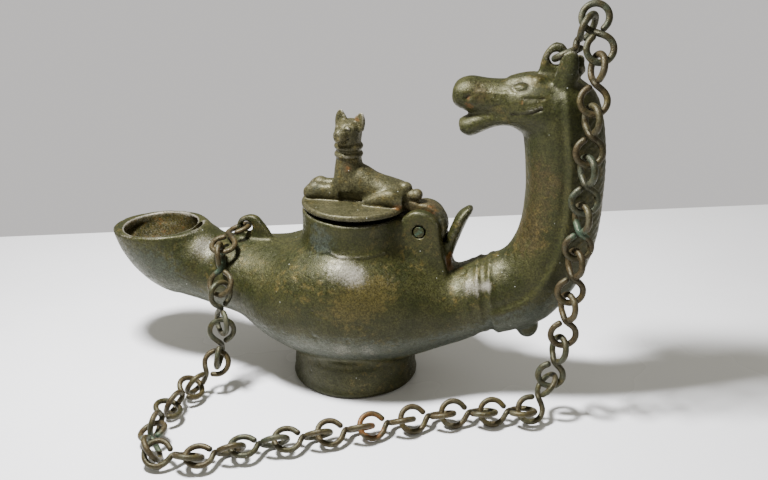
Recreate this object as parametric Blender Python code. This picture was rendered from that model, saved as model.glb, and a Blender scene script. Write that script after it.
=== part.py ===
"""Roman bronze oil lamp: a spout, an oil chamber on a foot, and a handle that rises into a horse's head.

The origin is the centre of the foot's flat underside, +Z is up, +X runs from the spout to the handle,
and the cast body is alike on both sides of the plane y = 0. Sizes are in millimetres, and MM turns
them into metres where a mesh is made.
"""
import math
from typing import NamedTuple

import bmesh
import bpy
import numpy as np
from mathutils import Matrix, Vector

MM = 0.001
GAP = 0.3
WALL = 2.2

FOOT_RADIUS = 25.0
FOOT_EDGE = 1.3
FOOT_TOP_RADIUS = 23.6
FOOT_TOP = 14.0
FOOT_WELL_RADIUS = 18.5
FOOT_WELL_PLAY = 0.6
FOOT_FLOOR = 3.6
FOOT_BOSS_RADIUS = 9.0
FOOT_RING_RADIUS = 20.4
FOOT_RECESS = 1.6
FOOT_SLOPE = 0.8

SPOUT_CORNER = (-61.3, 57.1)
SPOUT_CORNER_SHIFT = (1.4, -0.9)
SPOUT_RIM_LEAN = 87.0
SPOUT_RIM_LENGTH = 39.2
SPOUT_ROOT_LEAN = 23.6
SPOUT_ROOT_LENGTH = 30.8
SPOUT_SWELL = 0.75
SPOUT_HALF_WIDTH = 16.1
SPOUT_NARROWING = 0.5
SPOUT_STEPS = 7
WICK_HOLE_CENTRE = (-80.75, 0.0)
WICK_HOLE_HALF = (14.8, 14.2)
WICK_HOLE_REACH = (51.0, 62.0)

COLLAR_CENTRE = 0.9
COLLAR_BASE_RADIUS = 21.6
COLLAR_RIM_RADIUS = 20.4
COLLAR_BORE = 18.0
FILLING_HOLE_REACH = (44.0, 80.0)
COLLAR_BASE = 48.0
COLLAR_SHOULDER = (57.5, 60.5)
COLLAR_STEP = 0.3
COLLAR_RIM = 70.7
COLLAR_RIM_FALL = (-0.022, 0.032)

PIN_X = 27.0
PIN_Z = 65.4
PIN_RADIUS = 2.1
PIN_HOLE_RADIUS = 2.5
LUG_INNER = 4.1
LUG_OUTER = 8.8
LUG_RADIUS = 8.0
LUG_BASE = 47.0
LUG_FRONT = ((20.0, 60.0), (19.2, 68.0))
LUG_BACK = ((36.4, 56.0), (38.6, 47.0))
LUG_EDGE = 0.9
SADDLE_FRONT = (20.4, 57.2)
SADDLE_BACK = 38.0
SADDLE_SINK = 0.8
KNUCKLE_PLAY = 0.5
KNUCKLE_RADIUS = 9.7
KNUCKLE_HALF_WIDTH = 3.8

LID_RADIUS = 20.6
LID_UNDERSIDE = 71.7
LID_THICKNESS = 2.3
LID_LIP = 3.0
LID_ROUNDING = 0.8
LID_DISH = 0.4
KNUCKLE_THROAT = 4.7

LEAF_LINE = ((35.2, 46.0), (35.8, 53.0), (37.2, 58.5), (39.0, 64.4), (41.0, 69.8), (44.3, 73.9))
LEAF_HALF_WIDTH = (4.8, 4.4, 4.6, 5.6, 5.4, 2.4)
LEAF_HALF_THICK = (2.2, 1.9, 1.7, 1.7, 2.1, 1.1)

CHAIN_LUG_HALF_THICK = 1.6
CHAIN_LUG_OUTLINE = ((-47.9, 50.0), (-47.9, 58.0), (-46.4, 61.6), (-43.0, 63.3), (-39.4, 63.0),
                     (-36.6, 60.0), (-33.6, 55.5), (-31.5, 50.0))
CHAIN_LUG_HOLE = (-43.3, 58.6)
CHAIN_LUG_HOLE_RADIUS = 2.3

HEAD_LUG_HALF_THICK = 1.8
HEAD_LUG_OUTLINE = ((65.8, 119.0), (66.4, 125.0), (67.4, 130.4), (69.0, 133.6), (71.4, 135.7),
                    (73.8, 135.6), (75.8, 133.6), (77.0, 130.0), (78.0, 119.0))
HEAD_LUG_HOLE = (72.3, 130.4)
HEAD_LUG_HOLE_RADIUS = 2.3

WIRE_RADIUS = 1.15
WIRE_SIDES = 4
LOOP_RADIUS = 4.5
LOOP_SPACING = 11.0
LOOP_ANGLES = (-144.0, -96.0, -48.0, 0.0, 48.0, 96.0, 144.0)
FACET_SWELL = 1.04
TOWARDS_VIEW = Vector((0.2, -0.84, 0.5))
# Links at the lugs as the centre and normal of the first loop, then of the second one.
TOP_LINKS = (
    ((75.8, 0.0, 132.1), (-0.43, 0.22, 0.88), (82.0, -1.8, 141.6), (0.9, -0.4, -0.3)),
    ((84.2, -2.6, 145.0), (0.0, -0.95, 0.2), (86.6, -7.6, 135.6), (0.2, -0.93, 0.27)),
)
LAST_LINK = ((-49.0, -12.2, 54.9), (0.0, -0.3, 0.9), (-47.0, -0.75, 57.2), (-0.35, 0.0, 0.95))
# Points of the chain's path as x, y, z, then there the distance from link to link in mm, and the links' roll
# and twist in degrees.
ROUTE = (
    (86.5, -8.5, 134.2, 17.5, 0.0, 75.0), (86.0, -14.5, 118.0, 17.5, 0.0, 70.0),
    (86.0, -16.5, 100.0, 17.5, 0.0, 70.0), (85.5, -16.5, 75.0, 17.5, 0.0, 70.0),
    (83.0, -16.5, 45.0, 17.5, 0.0, 65.0), (81.0, -17.0, 25.0, 17.5, 0.0, 65.0),
    (77.5, -18.5, 12.0, 14.0, 0.0, 65.0), (73.5, -25.0, 5.5, 13.0, 0.0, 75.0),
    (60.0, -28.5, 5.0, 15.3, 0.0, 80.0), (43.0, -33.5, 5.0, 15.3, 5.0, 80.0),
    (15.0, -49.0, 5.0, 15.3, 20.0, 75.0), (-19.0, -67.5, 5.0, 15.3, 50.0, 60.0),
    (-31.5, -74.5, 5.0, 15.3, 50.0, 60.0), (-43.0, -82.0, 5.0, 15.0, 20.0, 70.0),
    (-54.5, -77.0, 5.5, 15.0, 0.0, 75.0), (-57.5, -58.0, 5.0, 15.3, 0.0, 75.0),
    (-55.5, -40.0, 5.5, 15.0, 0.0, 75.0), (-49.5, -30.5, 8.5, 14.5, 0.0, 75.0),
    (-45.5, -28.5, 20.0, 14.5, 10.0, 75.0), (-45.5, -26.5, 40.0, 14.5, 60.0, 75.0),
    (-48.5, -17.0, 54.3, 15.5, 105.0, 75.0),
)
ROUTE_STEPS = 20
WIRE_SPACING = 2.55
WIRE_STEPS = 4
SETTLE_ROUNDS = 80


class Section(NamedTuple):
    """A section of the casting: its two ends in the plane y = 0 as (x, z), its half width, and how
    square its upper half is, where 2 is an ellipse."""
    low: tuple
    high: tuple
    half_width: float
    fullness: float = 2.0


CHAMBER = (
    Section((-63.4, 26.0), (-55.0, 53.6), 14.9),
    Section((-54.3, 24.3), (-47.3, 53.9), 17.4),
    Section((-43.6, 22.2), (-38.1, 53.9), 20.2),
    Section((-32.2, 15.6), (-28.2, 54.6), 25.6, 2.1),
    Section((-17.3, 9.8), (-16.0, 58.6), 29.8, 2.5),
    Section((-0.3, 7.6), (-0.3, 61.8), 31.4, 2.8),
    Section((18.5, 10.2), (18.2, 57.4), 27.4, 2.5),
    Section((36.2, 16.9), (36.2, 49.6), 18.4, 2.1),
    Section((46.2, 21.0), (43.4, 51.0), 15.2),
)
HANDLE = (
    Section((54.0, 25.6), (49.0, 53.6), 13.8),
    Section((60.6, 26.0), (54.6, 56.2), 13.4),
    Section((75.2, 33.2), (58.6, 59.2), 12.4),
    Section((85.6, 48.8), (62.2, 66.0), 11.4),
    Section((90.6, 66.0), (63.8, 73.6), 10.4),
    Section((91.6, 84.0), (64.4, 84.6), 10.2),
    Section((91.2, 97.0), (63.6, 95.4), 10.4),
    Section((89.4, 110.0), (62.4, 106.5), 10.8),
    Section((86.0, 119.0), (64.0, 115.5), 10.0),
    Section((80.0, 124.0), (68.0, 121.6), 6.0),
)
ROOT_BANDS = ((-0.62, 0.16, 0.5), (-0.05, 0.16, 0.9), (0.3, 0.14, -0.5), (0.68, 0.2, 0.9))

MANE_EDGE = 98.0
MANE_RIDGE = 1.0
MANE_GROOVE = 0.6
RING_ANGLES = (0, 32, 60, 84, 92, 98, 106, 130, 155, 180)

HEAD = (
    Section((80.0, 101.0), (80.0, 123.6), 9.6),
    Section((72.0, 99.5), (72.0, 124.8), 10.6),
    Section((65.5, 101.9), (66.0, 125.0), 10.4),
    Section((60.0, 105.0), (60.5, 124.0), 9.3),
    Section((54.5, 108.2), (55.0, 122.4), 7.2),
    Section((48.6, 109.2), (49.0, 122.5), 6.4),
    Section((43.4, 110.2), (43.0, 123.0), 6.6),
    Section((39.2, 111.6), (38.6, 121.2), 5.6),
    Section((37.2, 113.4), (37.0, 118.2), 3.4),
)
JAW = (
    Section((62.0, 105.4), (62.0, 112.0), 7.4),
    Section((56.0, 106.0), (56.0, 112.5), 6.4),
    Section((51.5, 104.9), (51.2, 112.6), 5.8),
    Section((47.5, 102.9), (47.0, 111.2), 5.5),
    Section((43.6, 101.3), (42.6, 108.9), 5.1),
    Section((40.4, 102.6), (39.4, 107.2), 3.6),
)
NEAR_EAR = ((75.6, 6.3, 121.5), (77.6, 7.4, 135.4), (4.1, 1.9))
FAR_EAR = ((77.0, 6.2, 121.5), (80.0, 7.2, 131.0), (3.4, 2.0))
EAR_TAPER = ((0.0, 1.0), (0.35, 1.0), (0.65, 0.85), (0.93, 0.5))
KNOB_CENTRE = (68.2, 0.0, 28.0)
KNOB_HALF = (4.4, 3.9, 5.4)

DOG_TRUNK = (
    Section((-8.0, 72.5), (-8.0, 80.4), 5.6),
    Section((-3.5, 72.5), (-4.0, 88.0), 5.6),
    Section((3.0, 72.5), (3.6, 87.6), 5.8),
    Section((9.0, 72.5), (9.4, 84.4), 6.4),
    Section((15.0, 72.5), (15.6, 82.6), 6.9),
    Section((20.0, 73.4), (19.8, 81.2), 5.6),
    Section((22.2, 75.0), (22.0, 78.4), 2.6),
)
DOG_NECK = ((-1.4, 78.0, 6.4, 6.0), (-1.5, 85.0, 5.6, 5.3), (-1.6, 89.4, 4.9, 4.7), (-1.6, 90.4, 5.5, 5.2),
            (-1.6, 94.2, 5.3, 5.2), (-1.6, 95.2, 4.6, 4.6), (-1.7, 98.6, 5.2, 5.4), (-1.4, 102.2, 4.8, 5.6),
            (-1.0, 104.0, 3.2, 3.8))
DOG_FACE_TURN = math.radians(70.0)
DOG_MUZZLE = ((0.0, 99.8, 3.8, 3.6), (4.4, 99.6, 2.9, 3.2), (6.8, 99.4, 2.2, 2.6), (8.0, 99.3, 1.0, 1.4))
DOG_MUZZLE_ROOT = -1.4
DOG_EAR_BASE = (-1.2, 3.2, 100.6)
DOG_EAR_TIP = (-0.6, 4.7, 107.8)
DOG_EAR_HALF = (2.6, 1.4)
DOG_EAR_TAPER = ((0.0, 1.0), (0.5, 0.88), (0.94, 0.3))
FORELEG = (
    Section((-18.6, 74.6), (-18.6, 77.2), 1.2),
    Section((-17.0, 73.2), (-16.8, 79.2), 2.5),
    Section((-14.2, 73.2), (-14.0, 80.6), 2.8),
    Section((-10.6, 73.2), (-10.6, 79.9), 2.6),
    Section((-4.3, 73.1), (-4.1, 80.9), 2.7),
)
HIND_LEG = (
    Section((5.0, 73.2), (5.0, 75.6), 1.4),
    Section((8.0, 73.0), (8.0, 77.4), 2.2),
    Section((12.5, 73.0), (12.0, 79.6), 2.6),
    Section((17.0, 73.0), (16.6, 80.4), 2.8),
    Section((20.4, 73.6), (20.2, 78.0), 1.8),
)
DOG_TAIL = (
    Section((18.0, 75.6), (18.4, 78.6), 1.6),
    Section((21.6, 75.5), (22.0, 79.1), 1.9),
    Section((25.0, 75.7), (25.2, 79.3), 2.1),
    Section((26.9, 76.6), (26.9, 78.6), 1.0),
)
PAW_SPREAD = 3.1
HAUNCH_SPREAD = 6.0
TAIL_OFFSET = -1.6

BRONZE_DARK = (0.115, 0.110, 0.075, 1.0)
BRONZE_LID = (0.135, 0.130, 0.095, 1.0)
BRONZE_PIN = (0.070, 0.085, 0.055, 1.0)
BRONZE_CHAIN = (0.130, 0.095, 0.060, 1.0)


def bronze(name, colour, roughness):
    """A patinated bronze finish."""
    material = bpy.data.materials.new(name)
    material.use_nodes = True
    shader = material.node_tree.nodes["Principled BSDF"]
    shader.inputs["Base Color"].default_value = colour
    shader.inputs["Roughness"].default_value = roughness
    shader.inputs["Metallic"].default_value = 0.7
    return material


def add_object(name, bm, material=None):
    """Turn a bmesh in millimetres into an object in metres with its faces pointing out."""
    bmesh.ops.scale(bm, vec=(MM, MM, MM), verts=bm.verts)
    bmesh.ops.recalc_face_normals(bm, faces=bm.faces)
    mesh = bpy.data.meshes.new(name)
    bm.to_mesh(mesh)
    bm.free()
    piece = bpy.data.objects.new(name, mesh)
    bpy.context.scene.collection.objects.link(piece)
    mesh.shade_smooth()
    mesh.set_sharp_from_angle(angle=math.radians(40.0))
    if material:
        mesh.materials.append(material)
    return piece


def as_tool(piece):
    """Hide a piece that only feeds a Boolean."""
    piece.hide_render = True
    piece.display_type = 'WIRE'
    return piece


def combine(piece, tool, operation):
    """Join a tool piece to a piece, or cut it away."""
    modifier = piece.modifiers.new(tool.name, 'BOOLEAN')
    modifier.operation = operation
    modifier.object = as_tool(tool)


def skin(rings, flat_ends=False):
    """A closed bmesh over rings of equal length, its ends flat faces or fans round their middles."""
    bm = bmesh.new()
    rows = [[bm.verts.new(point) for point in ring] for ring in rings]
    count = len(rows[0])
    for row, following in zip(rows, rows[1:]):
        for i in range(count):
            j = (i + 1) % count
            bm.faces.new((row[i], row[j], following[j], following[i]))
    for row in (rows[0], rows[-1]):
        if flat_ends:
            bm.faces.new(row)
            continue
        middle = bm.verts.new(sum((vert.co for vert in row), Vector()) / count)
        for i in range(count):
            bm.faces.new((row[i], row[(i + 1) % count], middle))
    return bm


def spline(values, position):
    """A Catmull-Rom curve through tuples of numbers, read at a fractional index."""
    last = len(values) - 1
    index = min(max(int(math.floor(position)), 0), last - 1)
    t = position - index
    here, there = values[index], values[index + 1]
    before = values[index - 1] if index else tuple(2 * a - b for a, b in zip(here, there))
    after = values[index + 2] if index + 2 <= last else tuple(2 * b - a for a, b in zip(here, there))
    result = []
    for p0, p1, p2, p3 in zip(before, here, there, after):
        result.append(0.5 * (2 * p1 + (p2 - p0) * t + (2 * p0 - 5 * p1 + 4 * p2 - p3) * t * t
                             + (3 * p1 - p0 - 3 * p2 + p3) * t ** 3))
    return tuple(result)


def flatten(sections):
    """Each section as one tuple of six numbers."""
    return [(*section.low, *section.high, section.half_width, section.fullness) for section in sections]


def spout_sections():
    """The spout's sections, which fan round its inner corner from the rim to the root."""
    sections = []
    for step in range(SPOUT_STEPS):
        part = step / (SPOUT_STEPS - 1)
        lean = math.radians(SPOUT_RIM_LEAN + (SPOUT_ROOT_LEAN - SPOUT_RIM_LEAN) * part)
        length = SPOUT_ROOT_LENGTH + (SPOUT_RIM_LENGTH - SPOUT_ROOT_LENGTH) * (1 - part) ** SPOUT_SWELL
        high = tuple(corner + shift * part for corner, shift in zip(SPOUT_CORNER, SPOUT_CORNER_SHIFT))
        low = (high[0] - length * math.sin(lean), high[1] - length * math.cos(lean))
        sections.append(Section(low, high, SPOUT_HALF_WIDTH - SPOUT_NARROWING * part))
    return sections


def section_frame(values):
    """Centre, direction to the high end, half height and half width of a section."""
    low = Vector((values[0], 0, values[1]))
    high = Vector((values[2], 0, values[3]))
    reach = (high - low) / 2
    return (low + high) / 2, reach.normalized(), reach.length, values[4]


def oval(values, angles, inset=0.0, relief=None):
    """Points round a section at angles from its high end, moved in by inset and out by relief."""
    centre, rise, half_height, half_width = section_frame(values)
    points = []
    for angle in angles:
        up, across = math.cos(math.radians(angle)), math.sin(math.radians(angle))
        if up > 0:
            power = 2.0 / values[5]
            up, across = up ** power, math.copysign(abs(across) ** power, across)
        extra = (relief(angle) if relief else 0.0) - inset
        out = Vector((0, (half_width + extra) * across, 0))
        points.append(centre + rise * (half_height + extra) * up + out)
    return points


def even_angles(count):
    """Equal steps round a section."""
    return [360.0 * i / count for i in range(count)]


def mane_relief(strength):
    """The mane's ridge and groove at its front edge, and the band behind them."""
    def relief(angle):
        side = angle if angle <= 180 else 360 - angle
        if side > MANE_EDGE + 12:
            return 0.55 * MANE_RIDGE * strength
        if side > MANE_EDGE - 1:
            return MANE_RIDGE * strength
        if side > MANE_EDGE - 8:
            return -MANE_GROOVE * strength
        return 0.0
    return relief


def mane_strength(position):
    """How far the mane stands out at a section, from nothing at the handle's root to full height."""
    return min(max((position - 1.5) / 0.5, 0.0), 1.0)


def casting_rings():
    """The rings of the casting from the spout's rim to the crown of the horse's head."""
    full_round = list(RING_ANGLES) + [360 - angle for angle in reversed(RING_ANGLES[1:-1])]
    spout = flatten(spout_sections())
    chamber = flatten(CHAMBER)
    handle = flatten(HANDLE)
    rings = [oval(values, full_round) for values in spout]
    chain = [spout[-1]] + chamber + [handle[0]]
    for position in (1, 2, 3, 3.5, 4, 4.5, 5, 5.5, 6, 6.5, 7, 7.5, 8, 8.5, 9):
        rings.append(oval(spline(chain, position), full_round))
    neck = [chamber[-1]] + handle
    stops = []
    for centre, half, height in ROOT_BANDS:
        edge = 1 + centre
        stops += [(edge - half, 0.0), (edge, height), (edge + half, 0.0)]
    stops += [(1.95, 0.0)] + [(2.5 + 0.75 * i, 0.0) for i in range(0, 11)]
    for position, band in stops:
        mane = mane_relief(mane_strength(position))
        rings.append(oval(spline(neck, position), full_round,
                          relief=lambda angle, band=band, mane=mane: band + mane(angle)))
    return rings


def chamber_rings():
    """The hollow inside the spout and the oil chamber, one wall thickness in."""
    angles = even_angles(16)
    spout = flatten(spout_sections())
    chain = [spout[-1]] + flatten(CHAMBER)
    rings = [oval(values, angles, WALL) for values in spout[1:]]
    rings += [oval(spline(chain, position), angles, WALL) for position in (1, 2, 3, 4, 5, 6, 7, 8, 8.6)]
    return rings


def loft(name, sections, count, offset=0.0):
    """A closed oval form through sections, moved to the side by offset."""
    bm = skin([oval(values, even_angles(count)) for values in flatten(sections)])
    bmesh.ops.translate(bm, vec=(0, offset, 0), verts=bm.verts)
    return add_object(name, bm)


def prism(name, outline, half_thick, edge=0.0, y=0.0):
    """A plate of an (x, z) outline, its two faces drawn in by edge."""
    middle = Vector((sum(p[0] for p in outline), 0, sum(p[1] for p in outline))) / len(outline)
    rings = []
    layers = ((-half_thick, edge), (-half_thick + edge, 0.0), (half_thick - edge, 0.0), (half_thick, edge))
    for depth, inset in layers if edge else ((-half_thick, 0.0), (half_thick, 0.0)):
        ring = []
        for x, z in outline:
            point = Vector((x, 0, z))
            inward = (middle - point).normalized() * inset
            ring.append(point + inward + Vector((0, y + depth, 0)))
        rings.append(ring)
    return add_object(name, skin(rings, flat_ends=True))


def turned(name, profile, centre=(0.0, 0.0), count=40):
    """A round form about an upright axis, from (radius, height) pairs bottom to top."""
    rings = []
    for radius, height in profile:
        rings.append([Vector((centre[0] + radius * math.cos(a), centre[1] + radius * math.sin(a), height))
                      for a in (math.radians(angle) for angle in even_angles(count))])
    return add_object(name, skin(rings))


def rod(name, centre, radius, half_length, count=16):
    """A round bar along Y through an (x, z) point."""
    rings = []
    for y in (-half_length, half_length):
        rings.append([Vector((centre[0] + radius * math.cos(a), y, centre[1] + radius * math.sin(a)))
                      for a in (math.radians(angle) for angle in even_angles(count))])
    return add_object(name, skin(rings))


def egg(name, centre, half, rows=7, count=10):
    """An egg-shaped boss."""
    rings = []
    for row in range(1, rows):
        lift = math.pi * row / rows
        rings.append([Vector((centre[0] + half[0] * math.sin(lift) * math.cos(a),
                              centre[1] + half[1] * math.sin(lift) * math.sin(a),
                              centre[2] - half[2] * math.cos(lift)))
                      for a in (math.radians(angle) for angle in even_angles(count))])
    return add_object(name, skin(rings))


def arc(centre, radius, start, end, steps):
    """Points on an arc in the plane y = 0, at angles in degrees from +X towards +Z."""
    points = []
    for step in range(steps + 1):
        angle = math.radians(start + (end - start) * step / steps)
        points.append((centre[0] + radius * math.cos(angle), centre[1] + radius * math.sin(angle)))
    return points


def foot():
    """The turned foot, from its underside up into the chamber's wall."""
    underside = ((FOOT_BOSS_RADIUS, 0.0), (FOOT_BOSS_RADIUS + FOOT_SLOPE, FOOT_RECESS),
                 (FOOT_RING_RADIUS - FOOT_SLOPE, FOOT_RECESS), (FOOT_RING_RADIUS, 0.0))
    side = ((FOOT_RADIUS - FOOT_EDGE, 0.0), (FOOT_RADIUS, FOOT_EDGE), (FOOT_TOP_RADIUS, FOOT_TOP))
    return turned("foot", underside + side, count=36)


def collar():
    """The filling hole's collar, its worn rim falling towards the hinge and the near side."""
    profile = ((COLLAR_BASE_RADIUS, COLLAR_BASE), (COLLAR_BASE_RADIUS, COLLAR_SHOULDER[0]),
               (COLLAR_RIM_RADIUS + COLLAR_STEP, COLLAR_SHOULDER[1]), (COLLAR_RIM_RADIUS, COLLAR_RIM))
    piece = turned("collar", profile, (COLLAR_CENTRE, 0.0), 32)
    top = (COLLAR_RIM - 1.0) * MM
    for vert in piece.data.vertices:
        if vert.co.z > top:
            vert.co.z += COLLAR_RIM_FALL[0] * (vert.co.x - COLLAR_CENTRE * MM)
            vert.co.z += COLLAR_RIM_FALL[1] * vert.co.y
    return piece


def hinge_lug(side):
    """One cheek of the hinge, a rounded swelling that grows out of the collar."""
    outline = [(LUG_FRONT[0][0], LUG_BASE)] + list(LUG_FRONT)
    outline += arc((PIN_X, PIN_Z), LUG_RADIUS, 142.0, 0.0, 9)
    outline += LUG_BACK
    middle = side * (LUG_INNER + LUG_OUTER) / 2
    return prism("hinge_lug", outline, (LUG_OUTER - LUG_INNER) / 2, LUG_EDGE, middle)


def hinge_saddle():
    """The floor of the hinge's slot, hollowed round the knuckle."""
    outline = [(SADDLE_FRONT[0], LUG_BASE), SADDLE_FRONT]
    outline += arc((PIN_X, PIN_Z), KNUCKLE_RADIUS + KNUCKLE_PLAY, 236.0, 318.0, 6)
    outline += [(SADDLE_BACK, LUG_BASE)]
    return prism("hinge_saddle", outline, LUG_INNER + SADDLE_SINK)


def leaf():
    """The leaf-shaped stop behind the hinge."""
    values = [(*line, width, thick)
              for line, width, thick in zip(LEAF_LINE, LEAF_HALF_WIDTH, LEAF_HALF_THICK)]
    rings = []
    for step in range(2 * (len(values) - 1) + 1):
        x, z, width, thick = spline(values, step / 2)
        ahead = spline(values, min(step / 2 + 0.1, len(values) - 1))
        behind = spline(values, max(step / 2 - 0.1, 0))
        along = Vector((ahead[0] - behind[0], 0, ahead[1] - behind[1])).normalized()
        across = Vector((along.z, 0, -along.x))
        rings.append([Vector((x, 0, z)) + Vector((0, width * math.cos(a), 0)) + across * thick * math.sin(a)
                      for a in (math.radians(angle) for angle in even_angles(10))])
    return add_object("leaf", skin(rings))


def ear(side):
    """One of the horse's pricked ears, the far one worn lower."""
    base, tip, half = NEAR_EAR if side < 0 else FAR_EAR
    rings = []
    for part, swell in EAR_TAPER:
        middle = Vector(base).lerp(Vector(tip), part)
        rings.append([middle + Vector((half[0] * swell * math.cos(a), half[1] * swell * math.sin(a), 0))
                      for a in (math.radians(angle) for angle in even_angles(8))])
    bm = skin(rings)
    if side < 0:
        bmesh.ops.scale(bm, vec=(1, -1, 1), verts=bm.verts)
    return add_object("ear", bm)


def wick_hole():
    """The round hole in the spout's flat rim."""
    rings = []
    for height in WICK_HOLE_REACH:
        rings.append([Vector((WICK_HOLE_CENTRE[0] + WICK_HOLE_HALF[0] * math.cos(a),
                              WICK_HOLE_HALF[1] * math.sin(a), height))
                      for a in (math.radians(angle) for angle in even_angles(24))])
    return add_object("wick_hole", skin(rings))


def lamp_body(material):
    """The casting: spout, chamber, foot, collar, hinge lugs, leaf, lugs for the chain and the horse."""
    body = add_object("lamp_body", skin(casting_rings()), material)
    combine(body, foot(), 'UNION')
    combine(body, collar(), 'UNION')
    combine(body, hinge_saddle(), 'UNION')
    for side in (-1, 1):
        combine(body, hinge_lug(side), 'UNION')
    combine(body, leaf(), 'UNION')
    combine(body, prism("chain_lug", CHAIN_LUG_OUTLINE, CHAIN_LUG_HALF_THICK, 0.4), 'UNION')
    combine(body, egg("knob", KNOB_CENTRE, KNOB_HALF), 'UNION')
    combine(body, loft("horse_head", HEAD, 14), 'UNION')
    combine(body, loft("horse_jaw", JAW, 10), 'UNION')
    combine(body, prism("head_lug", HEAD_LUG_OUTLINE, HEAD_LUG_HALF_THICK, 0.5), 'UNION')
    for side in (-1, 1):
        combine(body, ear(side), 'UNION')
    combine(body, add_object("hollow", skin(chamber_rings())), 'DIFFERENCE')
    filling_hole = [(COLLAR_BORE, height) for height in FILLING_HOLE_REACH]
    combine(body, turned("filling_hole", filling_hole, (COLLAR_CENTRE, 0.0), 32), 'DIFFERENCE')
    foot_well = [(FOOT_WELL_RADIUS, height) for height in (FOOT_FLOOR, FOOT_TOP + FOOT_WELL_PLAY)]
    combine(body, turned("foot_well", foot_well, count=20), 'DIFFERENCE')
    combine(body, wick_hole(), 'DIFFERENCE')
    combine(body, rod("pin_hole", (PIN_X, PIN_Z), PIN_HOLE_RADIUS, LUG_OUTER + 2.0), 'DIFFERENCE')
    combine(body, rod("chain_lug_hole", CHAIN_LUG_HOLE, CHAIN_LUG_HOLE_RADIUS, 6.0, 12), 'DIFFERENCE')
    combine(body, rod("head_lug_hole", HEAD_LUG_HOLE, HEAD_LUG_HOLE_RADIUS, 6.0, 12), 'DIFFERENCE')
    return body


def standing_oval(name, rows, count=10):
    """An upright form from rows of x, z, half depth and half width."""
    rings = []
    for x, z, half_x, half_y in rows:
        rings.append([Vector((x + half_x * math.cos(a), half_y * math.sin(a), z))
                      for a in (math.radians(angle) for angle in even_angles(count))])
    return add_object(name, skin(rings))


def dog_muzzle():
    """The dog's snout, turned towards the near side."""
    forward = Vector((-math.cos(DOG_FACE_TURN), -math.sin(DOG_FACE_TURN), 0))
    side = Vector((forward.y, -forward.x, 0))
    rings = []
    for reach, z, half_width, half_height in DOG_MUZZLE:
        middle = Vector((DOG_MUZZLE_ROOT, 0, z)) + forward * reach
        rings.append([middle + side * half_width * math.cos(a) + Vector((0, 0, half_height * math.sin(a)))
                      for a in (math.radians(angle) for angle in even_angles(8))])
    return add_object("dog_muzzle", skin(rings))


def dog_ear(side):
    """One of the dog's pricked ears, set square to the turned face."""
    across = Vector((math.sin(DOG_FACE_TURN), -math.cos(DOG_FACE_TURN), 0)) * side
    forward = Vector((-math.cos(DOG_FACE_TURN), -math.sin(DOG_FACE_TURN), 0))
    base = Vector((DOG_EAR_BASE[0], 0, DOG_EAR_BASE[2])) + across * DOG_EAR_BASE[1]
    tip = Vector((DOG_EAR_TIP[0], 0, DOG_EAR_TIP[2])) + across * DOG_EAR_TIP[1]
    rings = []
    for part, swell in DOG_EAR_TAPER:
        middle = base.lerp(tip, part)
        rings.append([middle + across * DOG_EAR_HALF[0] * swell * math.cos(a)
                      + forward * DOG_EAR_HALF[1] * swell * math.sin(a)
                      for a in (math.radians(angle) for angle in even_angles(6))])
    return add_object("dog_ear", skin(rings))


def lid_knuckle():
    """The lid's hinge knuckle, round about the pin, and the neck that joins it to the disc."""
    outline = [(15.0, LID_UNDERSIDE + 0.5), (15.2, LID_UNDERSIDE + 1.9), (19.0, 76.2)]
    outline += arc((PIN_X, PIN_Z), KNUCKLE_RADIUS, 96.0, -60.0, 8)
    outline += arc((PIN_X, PIN_Z), KNUCKLE_THROAT, 250.0, 165.0, 3)
    outline += [(22.6, LID_UNDERSIDE - 0.6), (21.9, LID_UNDERSIDE + 0.4)]
    return prism("lid_knuckle", outline, KNUCKLE_HALF_WIDTH)


def lid(material, hinge):
    """The lid with its dog, built about the hinge's axis."""
    top = LID_UNDERSIDE + LID_THICKNESS
    profile = ((LID_RADIUS - LID_ROUNDING, LID_UNDERSIDE), (LID_RADIUS, LID_UNDERSIDE + LID_ROUNDING),
               (LID_RADIUS - LID_ROUNDING, top), (LID_RADIUS - LID_LIP, top - LID_DISH))
    piece = turned("lid", profile, (COLLAR_CENTRE, 0.0), 32)
    piece.data.materials.append(material)
    parts = [lid_knuckle(), loft("dog_trunk", DOG_TRUNK, 10), standing_oval("dog_neck", DOG_NECK),
             dog_muzzle(), loft("dog_tail", DOG_TAIL, 7, offset=TAIL_OFFSET)]
    for side in (-1, 1):
        parts += [loft("dog_foreleg", FORELEG, 7, offset=side * PAW_SPREAD),
                  loft("dog_hind_leg", HIND_LEG, 7, offset=side * HAUNCH_SPREAD), dog_ear(side)]
    for part in parts:
        combine(piece, part, 'UNION')
    combine(piece, rod("knuckle_bore", (PIN_X, PIN_Z), PIN_RADIUS + GAP, 8.0, 12), 'DIFFERENCE')
    for moved in [piece] + [modifier.object for modifier in piece.modifiers]:
        moved.data.transform(Matrix.Translation(-hinge))
        moved.location = hinge
    return piece


def hinge_pin(material):
    """The pin, flush with the lugs' outer faces."""
    pin = rod("hinge_pin", (PIN_X, PIN_Z), PIN_RADIUS, LUG_OUTER - 0.2)
    pin.data.materials.append(material)
    return pin


def loop_points(centre, outward, normal):
    """A loop's wire from its open end, round its far end, to where it leaves for the waist."""
    along = (outward - normal * outward.dot(normal)).normalized()
    across = normal.cross(along)
    points = []
    radius = LOOP_RADIUS * FACET_SWELL
    for angle in LOOP_ANGLES:
        turn = math.radians(angle)
        points.append(centre + (along * math.cos(turn) + across * math.sin(turn)) * radius)
    return points


def link_wire(first, first_normal, second, second_normal):
    """The middle line of an S-shaped link between two loop centres."""
    axis = (second - first).normalized()
    return (loop_points(first, -axis, first_normal) + [(first + second) / 2]
            + loop_points(second, axis, second_normal)[::-1])


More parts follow.
